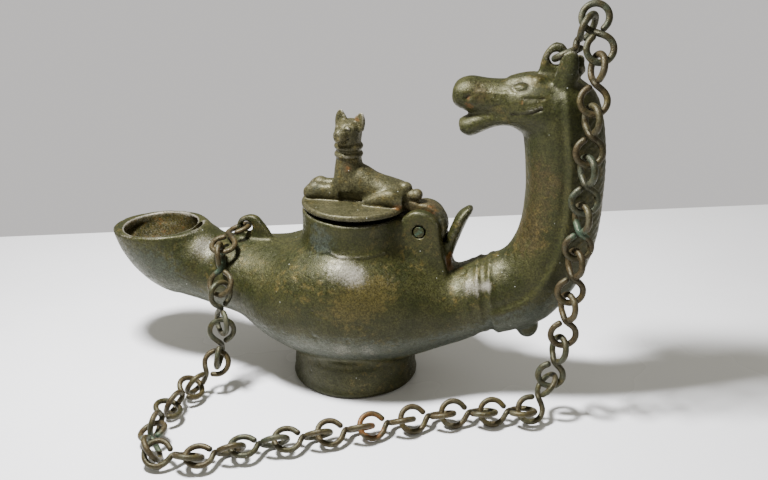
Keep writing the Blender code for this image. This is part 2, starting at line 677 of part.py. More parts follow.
def wire_object(name, points, material):
    """A closed wire of even thickness along points."""
    rings = []
    normal = None
    for i, point in enumerate(points):
        before = points[max(i - 1, 0)]
        after = points[min(i + 1, len(points) - 1)]
        along = (after - before).normalized()
        if normal is None:
            normal = along.orthogonal().normalized()
        normal = (normal - along * normal.dot(along)).normalized()
        across = along.cross(normal)
        rings.append([point + (normal * math.cos(a) + across * math.sin(a)) * WIRE_RADIUS
                      for a in (math.radians(angle) for angle in even_angles(WIRE_SIDES))])
    return add_object(name, skin(rings), material)


def joints_along_route():
    """Where one link meets the next: position, and the roll and twist of the links there."""
    count = ROUTE_STEPS * (len(ROUTE) - 1)
    walk = np.array([spline(ROUTE, i / ROUTE_STEPS) for i in range(count + 1)])
    links = [0.0]
    for start, end in zip(walk, walk[1:]):
        links.append(links[-1] + np.linalg.norm(end[:3] - start[:3]) / end[3])
    where = np.linspace(0.0, links[-1], round(links[-1]) + 1)
    columns = [np.interp(where, links, walk[:, k]) for k in range(6)]
    return [(Vector(row[:3]), math.radians(row[4]), math.radians(row[5])) for row in zip(*columns)]


def link_frames():
    """Loop centres and normals of every link from the horse's head to the spout."""
    frames = [tuple(Vector(value) for value in link) for link in TOP_LINKS]
    joints = joints_along_route()
    for (start, roll, twist), (end, next_roll, next_twist) in zip(joints, joints[1:]):
        middle = (start + end) / 2
        axis = (end - start).normalized()
        facing = (TOWARDS_VIEW - axis * TOWARDS_VIEW.dot(axis)).normalized()
        second = Matrix.Rotation((roll + next_roll) / 2, 3, axis) @ facing
        first = Matrix.Rotation((twist + next_twist) / 2, 3, axis) @ second
        frames.append((middle - axis * LOOP_SPACING / 2, first, middle + axis * LOOP_SPACING / 2, second))
    frames.append(tuple(Vector(value) for value in LAST_LINK))
    return frames


def nearest(first, second):
    """Where two wires come nearest: the direction from the first to the second, and the distance."""
    apart = second[None, :, :] - first[:, None, :]
    distance = np.linalg.norm(apart, axis=2)
    row, column = np.unravel_index(distance.argmin(), distance.shape)
    return apart[row, column] / distance[row, column], distance[row, column]


def settled(wires):
    """The links' wires moved apart until none touches the next ones or sinks into the table."""
    steps = np.arange(0, len(wires[0]) - 1 + 1 / WIRE_STEPS, 1 / WIRE_STEPS)
    places = []
    for wire in wires:
        columns = [np.interp(steps, range(len(wire)), [point[k] for point in wire]) for k in range(3)]
        places.append(np.stack(columns, axis=1))
    last = len(places) - 1
    moves = np.zeros((last + 1, 3))
    for _ in range(SETTLE_ROUNDS):
        for i in range(1, last):
            moves[i][2] += max(WIRE_RADIUS * FACET_SWELL - places[i][:, 2].min() - moves[i][2], 0.0)
        for i, j in [(i, i + step) for i in range(last + 1) for step in (1, 2) if i + step <= last]:
            way, distance = nearest(places[i] + moves[i], places[j] + moves[j])
            push = way * max(WIRE_SPACING - distance, 0.0) / 2
            moves[i] -= push if i > 0 else 0.0
            moves[j] += push if j < last else 0.0
    return [[point + Vector(move) for point in wire] for wire, move in zip(wires, moves)]


def chain(material):
    """Every link of the chain as its own piece."""
    wires = settled([link_wire(first, first_normal.normalized(), second, second_normal.normalized())
                     for first, first_normal, second, second_normal in link_frames()])
    for number, points in enumerate(wires, start=1):
        wire_object(f"chain_link_{number:02d}", points, material)


def main():
    """Build the lamp."""
    for old in list(bpy.data.objects):
        bpy.data.objects.remove(old, do_unlink=True)
    lamp_body(bronze("bronze_body", BRONZE_DARK, 0.5))
    lid(bronze("bronze_lid", BRONZE_LID, 0.52), Vector((PIN_X, 0, PIN_Z)) * MM)
    hinge_pin(bronze("bronze_pin", BRONZE_PIN, 0.45))
    chain(bronze("bronze_chain", BRONZE_CHAIN, 0.5))


main()
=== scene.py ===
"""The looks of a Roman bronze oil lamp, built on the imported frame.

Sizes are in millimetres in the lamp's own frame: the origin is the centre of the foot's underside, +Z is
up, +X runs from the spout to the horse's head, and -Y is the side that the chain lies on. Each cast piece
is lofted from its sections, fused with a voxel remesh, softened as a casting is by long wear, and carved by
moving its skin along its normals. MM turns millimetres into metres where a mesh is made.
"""

import logging
import math
from dataclasses import dataclass, field
from enum import Enum
from typing import Callable, Iterable, NamedTuple, Sequence

import bpy
import numpy as np
from mathutils import Matrix, Vector


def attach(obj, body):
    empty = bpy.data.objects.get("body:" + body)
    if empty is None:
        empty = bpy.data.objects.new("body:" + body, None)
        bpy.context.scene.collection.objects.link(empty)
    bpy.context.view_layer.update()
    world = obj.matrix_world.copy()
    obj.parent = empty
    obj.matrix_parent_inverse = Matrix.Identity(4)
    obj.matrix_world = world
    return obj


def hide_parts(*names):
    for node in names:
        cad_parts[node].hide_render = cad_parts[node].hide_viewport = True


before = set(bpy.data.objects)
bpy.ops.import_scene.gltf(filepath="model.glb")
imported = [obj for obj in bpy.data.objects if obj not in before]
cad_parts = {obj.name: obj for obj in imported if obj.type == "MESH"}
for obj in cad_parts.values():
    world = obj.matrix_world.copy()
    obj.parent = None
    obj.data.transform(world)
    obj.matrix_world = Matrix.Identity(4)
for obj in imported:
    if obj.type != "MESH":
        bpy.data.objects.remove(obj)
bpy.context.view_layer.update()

MM = 0.001
WALL = 2.2
LOG = logging.getLogger("oil_lamp")

STAINS = ("hollow", "edge", "warm", "brown", "cool", "rust", "green")

Array = np.ndarray
Piece = bpy.types.Object
Socket = bpy.types.NodeSocket
Point = tuple[float, float]
Point3 = tuple[float, float, float]
Relief = Callable[[Array], Array]


class Cut(Enum):
    """What a Boolean does with its tool."""

    ADD = "UNION"
    TAKE = "DIFFERENCE"


class Section(NamedTuple):
    """A section of a casting: its two ends in the plane y = 0 as (x, z), its half width, and how square
    its upper half is, where 2 is an ellipse."""

    low: Point
    high: Point
    half_width: float
    fullness: float = 2.0


class Blot(NamedTuple):
    """A soft round stain: how strong it is, where its middle is and how far it reaches."""

    share: float
    place: Point3
    reach: float


class Stroke(NamedTuple):
    """A line that is carved into the skin, with its width and depth; a depth below 0 stands out."""

    line: tuple[Point3, ...]
    width: float
    depth: float


# Numbers and curves


def spline(values: Sequence[Sequence[float]], position: float) -> Array:
    """Read a Catmull-Rom curve through rows of numbers.

    Args:
        values: The rows that the curve passes through.
        position: A fractional row index.

    Returns:
        The row at that position.
    """
    rows = np.asarray(values, float)
    last = len(rows) - 1
    index = min(max(int(math.floor(position)), 0), last - 1)
    t = position - index
    here, there = rows[index], rows[index + 1]
    before = rows[index - 1] if index else 2 * here - there
    after = rows[index + 2] if index + 2 <= last else 2 * there - here
    return 0.5 * (2 * here + (there - before) * t + (2 * before - 5 * here + 4 * there - after) * t * t
                  + (3 * here - before - 3 * there + after) * t ** 3)


def ease(values: Array, start: float, end: float) -> Array:
    """Rise smoothly from 0 at start to 1 at end, for every value; start may lie above end."""
    part = np.clip((values - start) / (end - start), 0.0, 1.0)
    return part * part * (3 - 2 * part)


def lattice_noise(points: Array, size: float, seed: int) -> Array:
    """Smooth noise from -1 to 1.

    Args:
        points: Places, one row each.
        size: The size of its lumps in millimetres.
        seed: Which noise it is.

    Returns:
        One value for each point.
    """
    scaled = points / size + seed * 17.31
    cell = np.floor(scaled).astype(np.int64)
    part = scaled - cell
    part = part * part * (3 - 2 * part)
    total = np.zeros(len(points))
    for corner in range(8):
        step = np.array([corner & 1, corner >> 1 & 1, corner >> 2 & 1])
        key = ((cell + step) * np.array([73856093, 19349663, 83492791])).sum(1) + seed * 2654435761
        key = (key ^ (key >> 13)) * 1274126177 & 0x7FFFFFFF
        key = (key ^ (key >> 16)) * 668265263 & 0x7FFFFFFF
        weight = np.where(step, part, 1 - part).prod(1)
        total += weight * (key / 0x3FFFFFFF - 1.0)
    return total


def layered_noise(points: Array, size: float, seed: int) -> Array:
    """Noise of three sizes added up, each half the size and half the height of the one before."""
    layers = (lattice_noise(points, size / 2 ** layer, seed + layer) / 2 ** layer for layer in range(3))
    return sum(layers) / 1.75


def stroke_distance(points: Array, line: Sequence[Sequence[float]]) -> Array:
    """How far each point is from a bent line, in the plane or in space.

    Args:
        points: Places, one row each.
        line: The line's points.

    Returns:
        One distance for each point.
    """
    rows = np.asarray(line, float)
    nearest = np.full(len(points), 1e9)
    for start, end in zip(rows, rows[1:]):
        reach = end - start
        t = np.clip(((points - start) @ reach) / (reach @ reach), 0, 1)
        nearest = np.minimum(nearest, np.linalg.norm(points - start - t[:, None] * reach, axis=1))
    return nearest


def bump(distance: Array, width: float) -> Array:
    """A round-topped bump, 1 at no distance and 0 at its width."""
    part = np.clip(1 - (distance / width) ** 2, 0, 1)
    return part * part


# Meshes and modifiers


def only(piece: Piece) -> None:
    """Select one object alone and make it the active one.

    Args:
        piece: The object.
    """
    bpy.ops.object.select_all(action="DESELECT")
    piece.select_set(True)
    bpy.context.view_layer.objects.active = piece


def solid_of_rings(name: str, rings: Sequence[Array], flat_ends: bool = False) -> Piece:
    """A closed mesh over rings of equal length.

    Args:
        name: The object's name.
        rings: Each ring's points in millimetres.
        flat_ends: One flat face over each end, in place of a fan round its middle.

    Returns:
        The object, with its faces pointing out.
    """
    count = len(rings[0])
    points = [np.asarray(ring) * MM for ring in rings]
    faces: list[tuple[int, ...]] = []
    for row in range(len(rings) - 1):
        for i in range(count):
            j = (i + 1) % count
            faces.append((row * count + i, row * count + j, (row + 1) * count + j, (row + 1) * count + i))
    total = len(rings) * count
    for first in (0, total - count):
        if flat_ends:
            faces.append(tuple(range(first, first + count)))
            continue
        points.append(points[first // count].mean(0, keepdims=True))
        faces += [(first + i, first + (i + 1) % count, total) for i in range(count)]
        total += 1
    mesh = bpy.data.meshes.new(name)
    mesh.from_pydata(np.concatenate(points).tolist(), [], faces)
    piece = bpy.data.objects.new(name, mesh)
    bpy.context.scene.collection.objects.link(piece)
    only(piece)
    bpy.ops.object.mode_set(mode="EDIT")
    bpy.ops.mesh.select_all(action="SELECT")
    bpy.ops.mesh.normals_make_consistent(inside=False)
    bpy.ops.object.mode_set(mode="OBJECT")
    return piece


def apply_modifier(piece: Piece, kind: str, **settings: object) -> None:
    """Add a modifier with these settings and apply it.

    Args:
        piece: The object.
        kind: Blender's name for the modifier.
        settings: Its properties.
    """
    only(piece)
    modifier = piece.modifiers.new(kind.lower(), kind)
    for key, value in settings.items():
        setattr(modifier, key, value)
    bpy.ops.object.modifier_apply(modifier=modifier.name)


def fuse(name: str, parts: Iterable[Piece], voxel: float) -> Piece:
    """Join overlapping solids and remesh them into one skin.

    Args:
        name: The name of the joined piece.
        parts: The solids, which are used up.
        voxel: The remesh's voxel in millimetres.

    Returns:
        The joined piece.
    """
    bpy.ops.object.select_all(action="DESELECT")
    members = list(parts)
    for part in members:
        part.select_set(True)
    bpy.context.view_layer.objects.active = members[0]
    bpy.ops.object.join()
    piece = members[0]
    piece.name = name
    piece.data.name = name
    apply_modifier(piece, "REMESH", mode="VOXEL", voxel_size=voxel * MM)
    return piece


def boolean(piece: Piece, tool: Piece, cut: Cut) -> None:
    """Add a tool to a piece or take it away, and delete the tool."""
    apply_modifier(piece, "BOOLEAN", operation=cut.value, object=tool, solver="EXACT")
    bpy.data.objects.remove(tool, do_unlink=True)


def points_of(piece: Piece) -> Array:
    """The piece's points in millimetres.

    Args:
        piece: The object.

    Returns:
        One row for each point.
    """
    flat = np.empty(len(piece.data.vertices) * 3, np.float32)
    piece.data.vertices.foreach_get("co", flat)
    return flat.reshape(-1, 3).astype(float) / MM


def normals_of(piece: Piece) -> Array:
    """The piece's point normals.

    Args:
        piece: The object.

    Returns:
        One row for each point.
    """
    flat = np.empty(len(piece.data.vertices) * 3, np.float32)
    piece.data.vertex_normals.foreach_get("vector", flat)
    return flat.reshape(-1, 3).astype(float)


def move_points(piece: Piece, points: Array) -> None:
    """Give the piece's points new places, in millimetres."""
    piece.data.vertices.foreach_set("co", (points * MM).astype(np.float32).ravel())
    piece.data.update()


def carve(piece: Piece, relief: Relief) -> None:
    """Move the skin along its normals by a relief in millimetres."""
    points = points_of(piece)
    move_points(piece, points + normals_of(piece) * relief(points)[:, None])


def neighbour_mean(piece: Piece, values: Array, rounds: int) -> Array:
    """Spread values over the mesh by taking the mean along its edges.

    Args:
        piece: The piece whose edges they spread along.
        values: One row for each point.
        rounds: How many times.

    Returns:
        The spread values.
    """
    ends = np.empty(len(piece.data.edges) * 2, np.int32)
    piece.data.edges.foreach_get("vertices", ends)
    first, second = ends.reshape(-1, 2).T
    size = len(piece.data.vertices)
    count = np.bincount(first, minlength=size) + np.bincount(second, minlength=size)
    rows = values.reshape(size, -1).astype(float)
    for _ in range(rounds):
        total = np.empty_like(rows)
        for column in range(rows.shape[1]):
            total[:, column] = (np.bincount(first, rows[second, column], size)
                                + np.bincount(second, rows[first, column], size))
        rows = 0.5 * rows + 0.5 * total / count[:, None]
    return rows.reshape(values.shape)


def triangles_of(piece: Piece) -> int:
    """How many triangles the piece has."""
    return sum(len(face.vertices) - 2 for face in piece.data.polygons)


def thin_out(piece: Piece, triangles: int) -> None:
    """Bring a piece down to a number of triangles."""
    apply_modifier(piece, "DECIMATE", ratio=min(1.0, triangles / triangles_of(piece)))


def hollows_of(piece: Piece, rounds: int, reach: float) -> Array:
    """How hollow the skin is: 0 on flats, towards 1 in recesses and towards -1 on edges.

    Args:
        piece: The piece.
        rounds: How far round each point the skin is compared.
        reach: The depth in millimetres that counts as full.

    Returns:
        One value for each point.
    """
    points = points_of(piece)
    spread = neighbour_mean(piece, points, rounds)
    depth = ((spread - points) * normals_of(piece)).sum(1)
    return np.clip(depth / reach, -1, 1)


# The forms that the castings are lofted from


@dataclass
class Loft:
    """An oval form through sections.

    Attributes:
        sections: The sections it passes through.
        per_span: Rings from one section to the next.
        around: Points round each ring.
        inset: How far inside the sections it lies, in millimetres.
        shift: How far it is moved along Y.
    """

    sections: Sequence[Section]
    per_span: int = 6
    around: int = 48
    inset: float = 0.0
    shift: float = 0.0

    def rows(self) -> Array:
        """The sections as rows of six numbers."""
        return np.array([(*s.low, *s.high, s.half_width, s.fullness) for s in self.sections], float)

    def ring(self, values: Array, relief: Relief | None = None) -> Array:
        """The points round one section.

        Args:
            values: The section as six numbers.
            relief: How far the skin stands out at each angle from the high end, in degrees.

        Returns:
            The points in millimetres.
        """
        angles = np.arange(self.around) * 360.0 / self.around
        low = np.array([values[0], 0, values[1]])
        high = np.array([values[2], 0, values[3]])
        half = np.linalg.norm(high - low) / 2
        rise = (high - low) / (2 * half)
        up, across = np.cos(np.radians(angles)), np.sin(np.radians(angles))
        power = 2.0 / values[5]
        across = np.where(up > 0, np.copysign(np.abs(across) ** power, across), across)
        up = np.where(up > 0, np.abs(up) ** power, up)
        extra = (relief(angles) if relief else np.zeros(len(angles))) - self.inset
        points = (low + high) / 2 + rise * ((half + extra) * up)[:, None]
        points[:, 1] += (values[4] + extra) * across + self.shift
        return points

    def rings(self) -> list[Array]:
        """Every ring from the first section to the last.

        Returns:
            The points of each ring.
        """
        rows = self.rows()
        steps = (len(rows) - 1) * self.per_span
        return [self.ring(spline(rows, step / self.per_span)) for step in range(steps + 1)]

    def build(self, name: str) -> Piece:
        """The form as a closed solid."""
        return solid_of_rings(name, self.rings())


def unit(way: Array) -> Array:
    """The way as a vector of length 1."""
    return way / np.linalg.norm(way)


def bend(start: Array, leaving: Array, end: Array, arriving: Array,
         count: int) -> Array:
    """A smooth bend between two points.

    Args:
        start: Where it starts.
        leaving: The unit direction there.
        end: Where it ends.
        arriving: The unit direction there.
        count: How many points it has, without its ends.

    Returns:
        The points, one row each.
    """
    t = np.linspace(0, 1, count + 2)[1:-1, None]
    span = np.linalg.norm(end - start)
    return (start * (2 * t ** 3 - 3 * t ** 2 + 1) + end * (3 * t ** 2 - 2 * t ** 3)
            + leaving * span * (t ** 3 - 2 * t ** 2 + t) + arriving * span * (t ** 3 - t ** 2))


def circle(count: int) -> Array:
    """Angles in radians at equal steps round a circle."""
    return np.arange(count) * 2 * math.pi / count


def turned(name: str, profile: Sequence[Point], centre: Point = (0.0, 0.0),
           count: int = 96) -> Piece:
    """A round form about an upright axis.

    Args:
        name: The object's name.
        profile: Pairs of radius and height, bottom to top.
        centre: Where the axis stands, as (x, y).
        count: Points round each ring.

    Returns:
        The closed solid.
    """
    a = circle(count)
    rings = [np.c_[centre[0] + radius * np.cos(a), centre[1] + radius * np.sin(a), np.full(count, height)]
             for radius, height in profile]
    return solid_of_rings(name, rings)


def rod(name: str, centre: Point, radius: float, half_length: float, count: int = 40) -> Piece:
    """A round bar along Y through an (x, z) point, made as a cylinder laid on its side.

    Args:
        name: The object's name.
        centre: Where its axis is, as (x, z).
        radius: Its radius.
        half_length: Half its length.
        count: Points round it.

    Returns:
        The closed solid.
    """
    bpy.ops.object.select_all(action="DESELECT")
    bpy.ops.mesh.primitive_cylinder_add(vertices=count, radius=radius * MM, depth=2 * half_length * MM,
                                        location=(centre[0] * MM, 0, centre[1] * MM),
                                        rotation=(math.pi / 2, 0, 0))
    piece = bpy.context.active_object
    piece.name = name
    bpy.ops.object.transform_apply(location=True, rotation=True, scale=True)
    return piece


def plate(name: str, outline: Sequence[Point], half_thick: float, edge: float = 0.0,
          y: float = 0.0) -> Piece:
    """A plate of an (x, z) outline.

    Args:
        name: The object's name.
        outline: The outline's points.
        half_thick: Half its thickness along Y.
        edge: How far its two faces are drawn in.
        y: Where its middle lies.

    Returns:
        The closed solid.
    """
    flat = np.array([(x, 0.0, z) for x, z in outline])
    inward = flat.mean(0) - flat
    inward /= np.linalg.norm(inward, axis=1, keepdims=True)
    layers = ((-half_thick, edge), (edge - half_thick, 0.0), (half_thick - edge, 0.0), (half_thick, edge))
    if not edge:
        layers = layers[1:3]
    rings = [flat + inward * inset + np.array([0, y + depth, 0]) for depth, inset in layers]
    return solid_of_rings(name, rings, flat_ends=True)


def arc(centre: Point, radius: float, start: float, end: float, steps: int) -> list[Point]:
    """Points on an arc in the plane y = 0, at angles in degrees from +X towards +Z."""
    angles = np.radians(np.linspace(start, end, steps + 1))
    return [(centre[0] + radius * math.cos(a), centre[1] + radius * math.sin(a)) for a in angles]


def egg(name: str, centre: Point3, half: Point3, tilt: float = 0.0) -> Piece:
    """An egg-shaped lump.

    Args:
        name: The object's name.
        centre: Its middle.
        half: Its half sizes along X, Y and Z before it is tilted.
        tilt: Its tilt about Y in degrees.

    Returns:
        The closed solid.
    """
    bpy.ops.object.select_all(action="DESELECT")
    bpy.ops.mesh.primitive_uv_sphere_add(segments=28, ring_count=18, radius=MM,
                                         location=[value * MM for value in centre],
                                         rotation=(0, math.radians(tilt), 0), scale=half)
    piece = bpy.context.active_object
    piece.name = name
    bpy.ops.object.transform_apply(location=True, rotation=True, scale=True)
    return piece


def stack(name: str, rows: Sequence[Sequence[float]], per_span: int = 4, count: int = 32) -> Piece:
    """An upright form from rows of x, z, half depth and half width.

    Args:
        name: The object's name.
        rows: The rows, bottom to top.
        per_span: Rings from one row to the next.
        count: Points round each ring.

    Returns:
        The closed solid.
    """
    a = circle(count)
    rings = []
    for step in range((len(rows) - 1) * per_span + 1):
        x, z, half_x, half_y = spline(rows, step / per_span)
        rings.append(np.c_[x + half_x * np.cos(a), half_y * np.sin(a), np.full(count, z)])
    return solid_of_rings(name, rings)


def tube(name: str, line: Array, radii: Array, count: int) -> Piece:
    """A round bar along a line in space.

    Args:
        name: The object's name.
        line: The points of its middle line.
        radii: Its radius at each point.
        count: Points round it.

    Returns:
        The closed solid.
    """
    a = circle(count)
    rings = []
    normal = None
    for i, point in enumerate(line):
        along = line[min(i + 1, len(line) - 1)] - line[max(i - 1, 0)]
        along = along / np.linalg.norm(along)
        if normal is None:
            normal = np.array(Vector(along).orthogonal().normalized())
        normal = normal - along * (normal @ along)
        normal /= np.linalg.norm(normal)
        across = np.cross(along, normal)
        rings.append(point + radii[i] * (np.cos(a)[:, None] * normal + np.sin(a)[:, None] * across))
    return solid_of_rings(name, rings)


# Finishes


class Graph:
    """Writes the nodes of one material."""

    def __init__(self, name: str) -> None:
        """Start a material that holds a Principled shader.

        Args:
            name: The material's name.
        """
        self.material = bpy.data.materials.new(name)
        self.material.use_nodes = True
        self.tree = self.material.node_tree
        self.shader = self.tree.nodes["Principled BSDF"]
        self.place = self.node("ShaderNodeTexCoord").outputs["Object"]

    def node(self, kind: str, **settings: object) -> bpy.types.Node:
        """A new node with these properties.

        Args:
            kind: Blender's name for the node.
            settings: Its properties.

        Returns:
            The node.
        """
        made = self.tree.nodes.new(kind)
        for key, value in settings.items():
            setattr(made, key, value)
        return made

    def put(self, socket: Socket, value: object) -> None:
        """Link a socket to another node's output, or set its value.

        Args:
            socket: The input.
            value: An output, a number or a colour.
        """
        if isinstance(value, Socket):
            self.tree.links.new(value, socket)
        elif isinstance(value, tuple):
            socket.default_value = (*value, 1.0)[:len(socket.default_value)]
        else:
            socket.default_value = value

    def noise(self, size: float, detail: float = 3.0, roughness: float = 0.55) -> Socket:
        """Noise from about 0.2 to 0.8.

        Args:
            size: The size of its lumps in millimetres.
            detail: How many finer layers it has.
            roughness: How strong the finer layers are.

        Returns:
            The noise's value.
        """
        made = self.node("ShaderNodeTexNoise")
        self.put(made.inputs["Vector"], self.place)
        self.put(made.inputs["Scale"], 1.0 / (size * MM))
        self.put(made.inputs["Detail"], detail)
        self.put(made.inputs["Roughness"], roughness)
        return made.outputs["Fac"]

    def specks(self, size: float, reach: float) -> Socket:
        """Scattered round specks, 1 at their middles.

        Args:
            size: How far apart they are in millimetres.
            reach: Their radius as a share of that.

        Returns:
            The specks' value.
        """
        made = self.node("ShaderNodeTexVoronoi")
        self.put(made.inputs["Vector"], self.place)
        self.put(made.inputs["Scale"], 1.0 / (size * MM))
        return self.step(made.outputs["Distance"], reach, 0.6 * reach)

    def attribute(self, name: str) -> Socket:
        """A value stored on the mesh."""
        return self.node("ShaderNodeAttribute", attribute_name=name).outputs["Fac"]

    def math(self, operation: str, first: object, second: object = 0.0) -> Socket:
        """Two values put together by an operation, kept between 0 and 1.

        Args:
            operation: Blender's name for the operation.
            first: The first value.
            second: The second value.

        Returns:
            The result.
        """
        made = self.node("ShaderNodeMath", operation=operation, use_clamp=True)
        self.put(made.inputs[0], first)
        self.put(made.inputs[1], second)
        return made.outputs[0]

    def step(self, value: object, start: float, end: float, low: float = 0.0,
             high: float = 1.0) -> Socket:
        """Go smoothly from low at start to high at end.

        Args:
            value: What it follows.
            start: Where it starts.
            end: Where it ends.
            low: The result up to the start.
            high: The result from the end on.

        Returns:
            The result.
        """
        made = self.node("ShaderNodeMapRange", interpolation_type="SMOOTHSTEP")
        for socket, number in zip(made.inputs, (value, start, end, low, high)):
            self.put(socket, number)
        return made.outputs[0]

    def mix(self, share: object, first: object, second: object, blend: str = "MIX") -> Socket:
        """Blend two colours.

        Args:
            share: How much of the second there is.
            first: The first colour.
            second: The second colour.
            blend: Blender's name for the kind of mix.

        Returns:
            The blended colour.
        """
        made = self.node("ShaderNodeMix", data_type="RGBA", blend_type=blend)
        colours = [socket for socket in made.inputs if socket.type == "RGBA"]
        self.put(made.inputs["Factor"], share)
        self.put(colours[0], first)
        self.put(colours[1], second)
        return next(socket for socket in made.outputs if socket.type == "RGBA")

    def bump(self, height: object, depth: float, strength: float,
             before: Socket | None = None) -> Socket:
        """Raise the skin by a height.

        Args:
            height: The height from 0 to 1.
            depth: What a height of 1 stands for, in millimetres.
            strength: How strong it shows.
            before: The normal that it adds to.

        Returns:
            The normal.
        """
        made = self.node("ShaderNodeBump")
        self.put(made.inputs["Strength"], strength)
        self.put(made.inputs["Distance"], depth * MM)
        self.put(made.inputs["Height"], height)
        if before is not None:
            self.put(made.inputs["Normal"], before)
        return made.outputs["Normal"]


@dataclass(frozen=True)
class Patina:
    """The skin of an old bronze: its ground, its mottling, its recesses, its specks and its gloss.

    Attributes:
        name: The material's name.
        ground: The main colour.
        second: The colour that clouds over it.
        warm: The yellow-brown of the attribute warm and of the mottling.
        brown: The colour of the attribute brown.
        cool: The grey-blue of the attribute cool.
        dirt_and_shade: The colour of grime in recesses, and of the painted shade on the horse's head.
        pale_wear_and_highlight: The pale colour of edges bared by wear, and of the painted highlights and the
            painted basin light on the body.
        rust: The colour of the attribute rust.
        verdigris: The colour of the attribute green.
        roughness: The middle of its roughness.
        metallic: How much of the metal shows through.
        fine: The size of its finest grain in millimetres.
        relief: How strong the grain stands out.
        chalk: The colour of the pale specks.
        gleam: How strong its gloss is.
        gleam_tint: The gloss's colour.
    """

    name: str
    ground: Point3 = (0.0110, 0.0130, 0.0034)
    second: Point3 = (0.0200, 0.0205, 0.0060)
    warm: Point3 = (0.058, 0.044, 0.012)
    brown: Point3 = (0.036, 0.023, 0.010)
    cool: Point3 = (0.030, 0.040, 0.038)
    dirt_and_shade: Point3 = (0.005, 0.004, 0.002)
    pale_wear_and_highlight: Point3 = (0.210, 0.195, 0.165)
    rust: Point3 = (0.150, 0.056, 0.014)
    verdigris: Point3 = (0.045, 0.110, 0.078)
    roughness: float = 0.42
    metallic: float = 0.15
    fine: float = 0.45
    relief: float = 1.0
    chalk: Point3 = (0.30, 0.31, 0.28)
    gleam: float = 0.32
    gleam_tint: Point3 = (1.0, 0.95, 0.65)

    def colour(self, graph: Graph) -> Socket:
        """The colour, from the ground up to the specks.

        Args:
            graph: The material's nodes.

        Returns:
            The colour.
        """
        clouds = graph.step(graph.noise(9.0, 4.0), 0.36, 0.64)
        mottling = graph.step(graph.noise(3.0, 5.0, 0.65), 0.50, 0.68, 0.0, 0.75)
        patches = graph.step(graph.noise(25.0, 2.0), 0.42, 0.62)
        colour = graph.mix(clouds, self.ground, self.second)
        colour = graph.mix(graph.math("MULTIPLY", mottling, patches), colour, self.warm)
        ragged = graph.noise(2.2, 5.0, 0.65)
        for attribute, tint in (("warm", self.warm), ("brown", self.brown), ("cool", self.cool)):
            cover = graph.step(graph.math("ADD", graph.attribute(attribute), ragged), 0.72, 1.30)
            colour = graph.mix(cover, colour, tint)
        grain = graph.step(graph.noise(self.fine * 1.5, 3.0, 0.75), 0.35, 0.68, 0.48, 1.62)
        colour = graph.mix(1.0, colour, grain, "MULTIPLY")
        # grime in recesses, and painted shade on the horse's head where its blot raises the attribute hollow
        hollow = graph.attribute("hollow")
        colour = graph.mix(graph.step(graph.math("ADD", hollow, graph.math("MULTIPLY", ragged, 0.3)),
                                      0.30, 0.95, 0.0, 0.92), colour, self.dirt_and_shade)
        speckle = graph.noise(self.fine * 1.2, 2.0, 0.7)
        # the pale colour follows the attribute edge: wear on edges, and on the body painted highlights and
        # painted light in the spout's basin
        wear_and_highlight_mask = graph.math("ADD", graph.attribute("edge"), graph.math("MULTIPLY", speckle, 0.6))
        colour = graph.mix(graph.step(wear_and_highlight_mask, 0.50, 0.95, 0.0, 0.75), colour, self.pale_wear_and_highlight)
        for attribute, tint, start in (("rust", self.rust, 0.80), ("green", self.verdigris, 0.85)):
            cover = graph.math("ADD", graph.attribute(attribute), ragged)
            colour = graph.mix(graph.step(cover, start, start + 0.40, 0.0, 0.9), colour, tint)
        here_and_there = graph.step(graph.noise(14.0, 1.0), 0.50, 0.56)
        return graph.mix(graph.math("MULTIPLY", graph.specks(3.6, 0.065), here_and_there), colour, self.chalk)

    def build(self) -> bpy.types.Material:
        """The material, with its nodes.

        Returns:
            The material.
        """
        graph = Graph(self.name)
        shader = graph.shader
        graph.put(shader.inputs["Base Color"], self.colour(graph))
        shader.inputs["Metallic"].default_value = self.metallic
        shader.inputs["Specular IOR Level"].default_value = self.gleam
        shader.inputs["Specular Tint"].default_value = (*self.gleam_tint, 1.0)
        gloss = graph.noise(1.4, 4.0, 0.7)
        graph.put(shader.inputs["Roughness"],
                  graph.step(gloss, 0.30, 0.70, self.roughness - 0.10, self.roughness + 0.16))
        normal = graph.bump(graph.noise(self.fine * 4, 4.0, 0.6), 0.16, 0.55 * self.relief)
        normal = graph.bump(graph.noise(self.fine, 2.0, 0.65), 0.10, 0.80 * self.relief, normal)
        pits = graph.specks(1.3, 0.26)
        normal = graph.bump(graph.math("SUBTRACT", 1.0, pits), 0.07, 0.55 * self.relief, normal)
        graph.put(shader.inputs["Normal"], normal)
        return graph.material


@dataclass(frozen=True)
class PaleFloor:
    """The smooth pale top that the lamp stands on."""

    name: str = "pale_floor"
    colour: Point3 = (0.73, 0.73, 0.74)
    shade: Point3 = (0.70, 0.70, 0.71)

    def build(self) -> bpy.types.Material:
        """The material, with its nodes.

        Returns:
            The material.
        """
        graph = Graph(self.name)
        clouds = graph.step(graph.noise(90.0, 3.0), 0.35, 0.65)
        graph.put(graph.shader.inputs["Base Color"], graph.mix(clouds, self.colour, self.shade))
        graph.put(graph.shader.inputs["Roughness"], graph.step(clouds, 0.0, 1.0, 0.24, 0.30))
        return graph.material


def paint(piece: Piece, stains: dict[str, Array]) -> None:
    """Store the patina's stains on a piece, one number for each point, with 0 where it has none.

    Args:
        piece: The piece.
        stains: Each stain's strength at every point, by name.
    """
    nothing = np.zeros(len(piece.data.vertices))
    for name in STAINS:
        layer = piece.data.attributes.new(name, "FLOAT", "POINT")
        layer.data.foreach_set("value", np.clip(stains.get(name, nothing), 0, 1).astype(np.float32))


def near(points: Array, place: Point3, reach: float) -> Array:
    """1 at a place, and 0 from reach away."""
    return bump(np.linalg.norm(points - np.array(place), axis=1), reach)


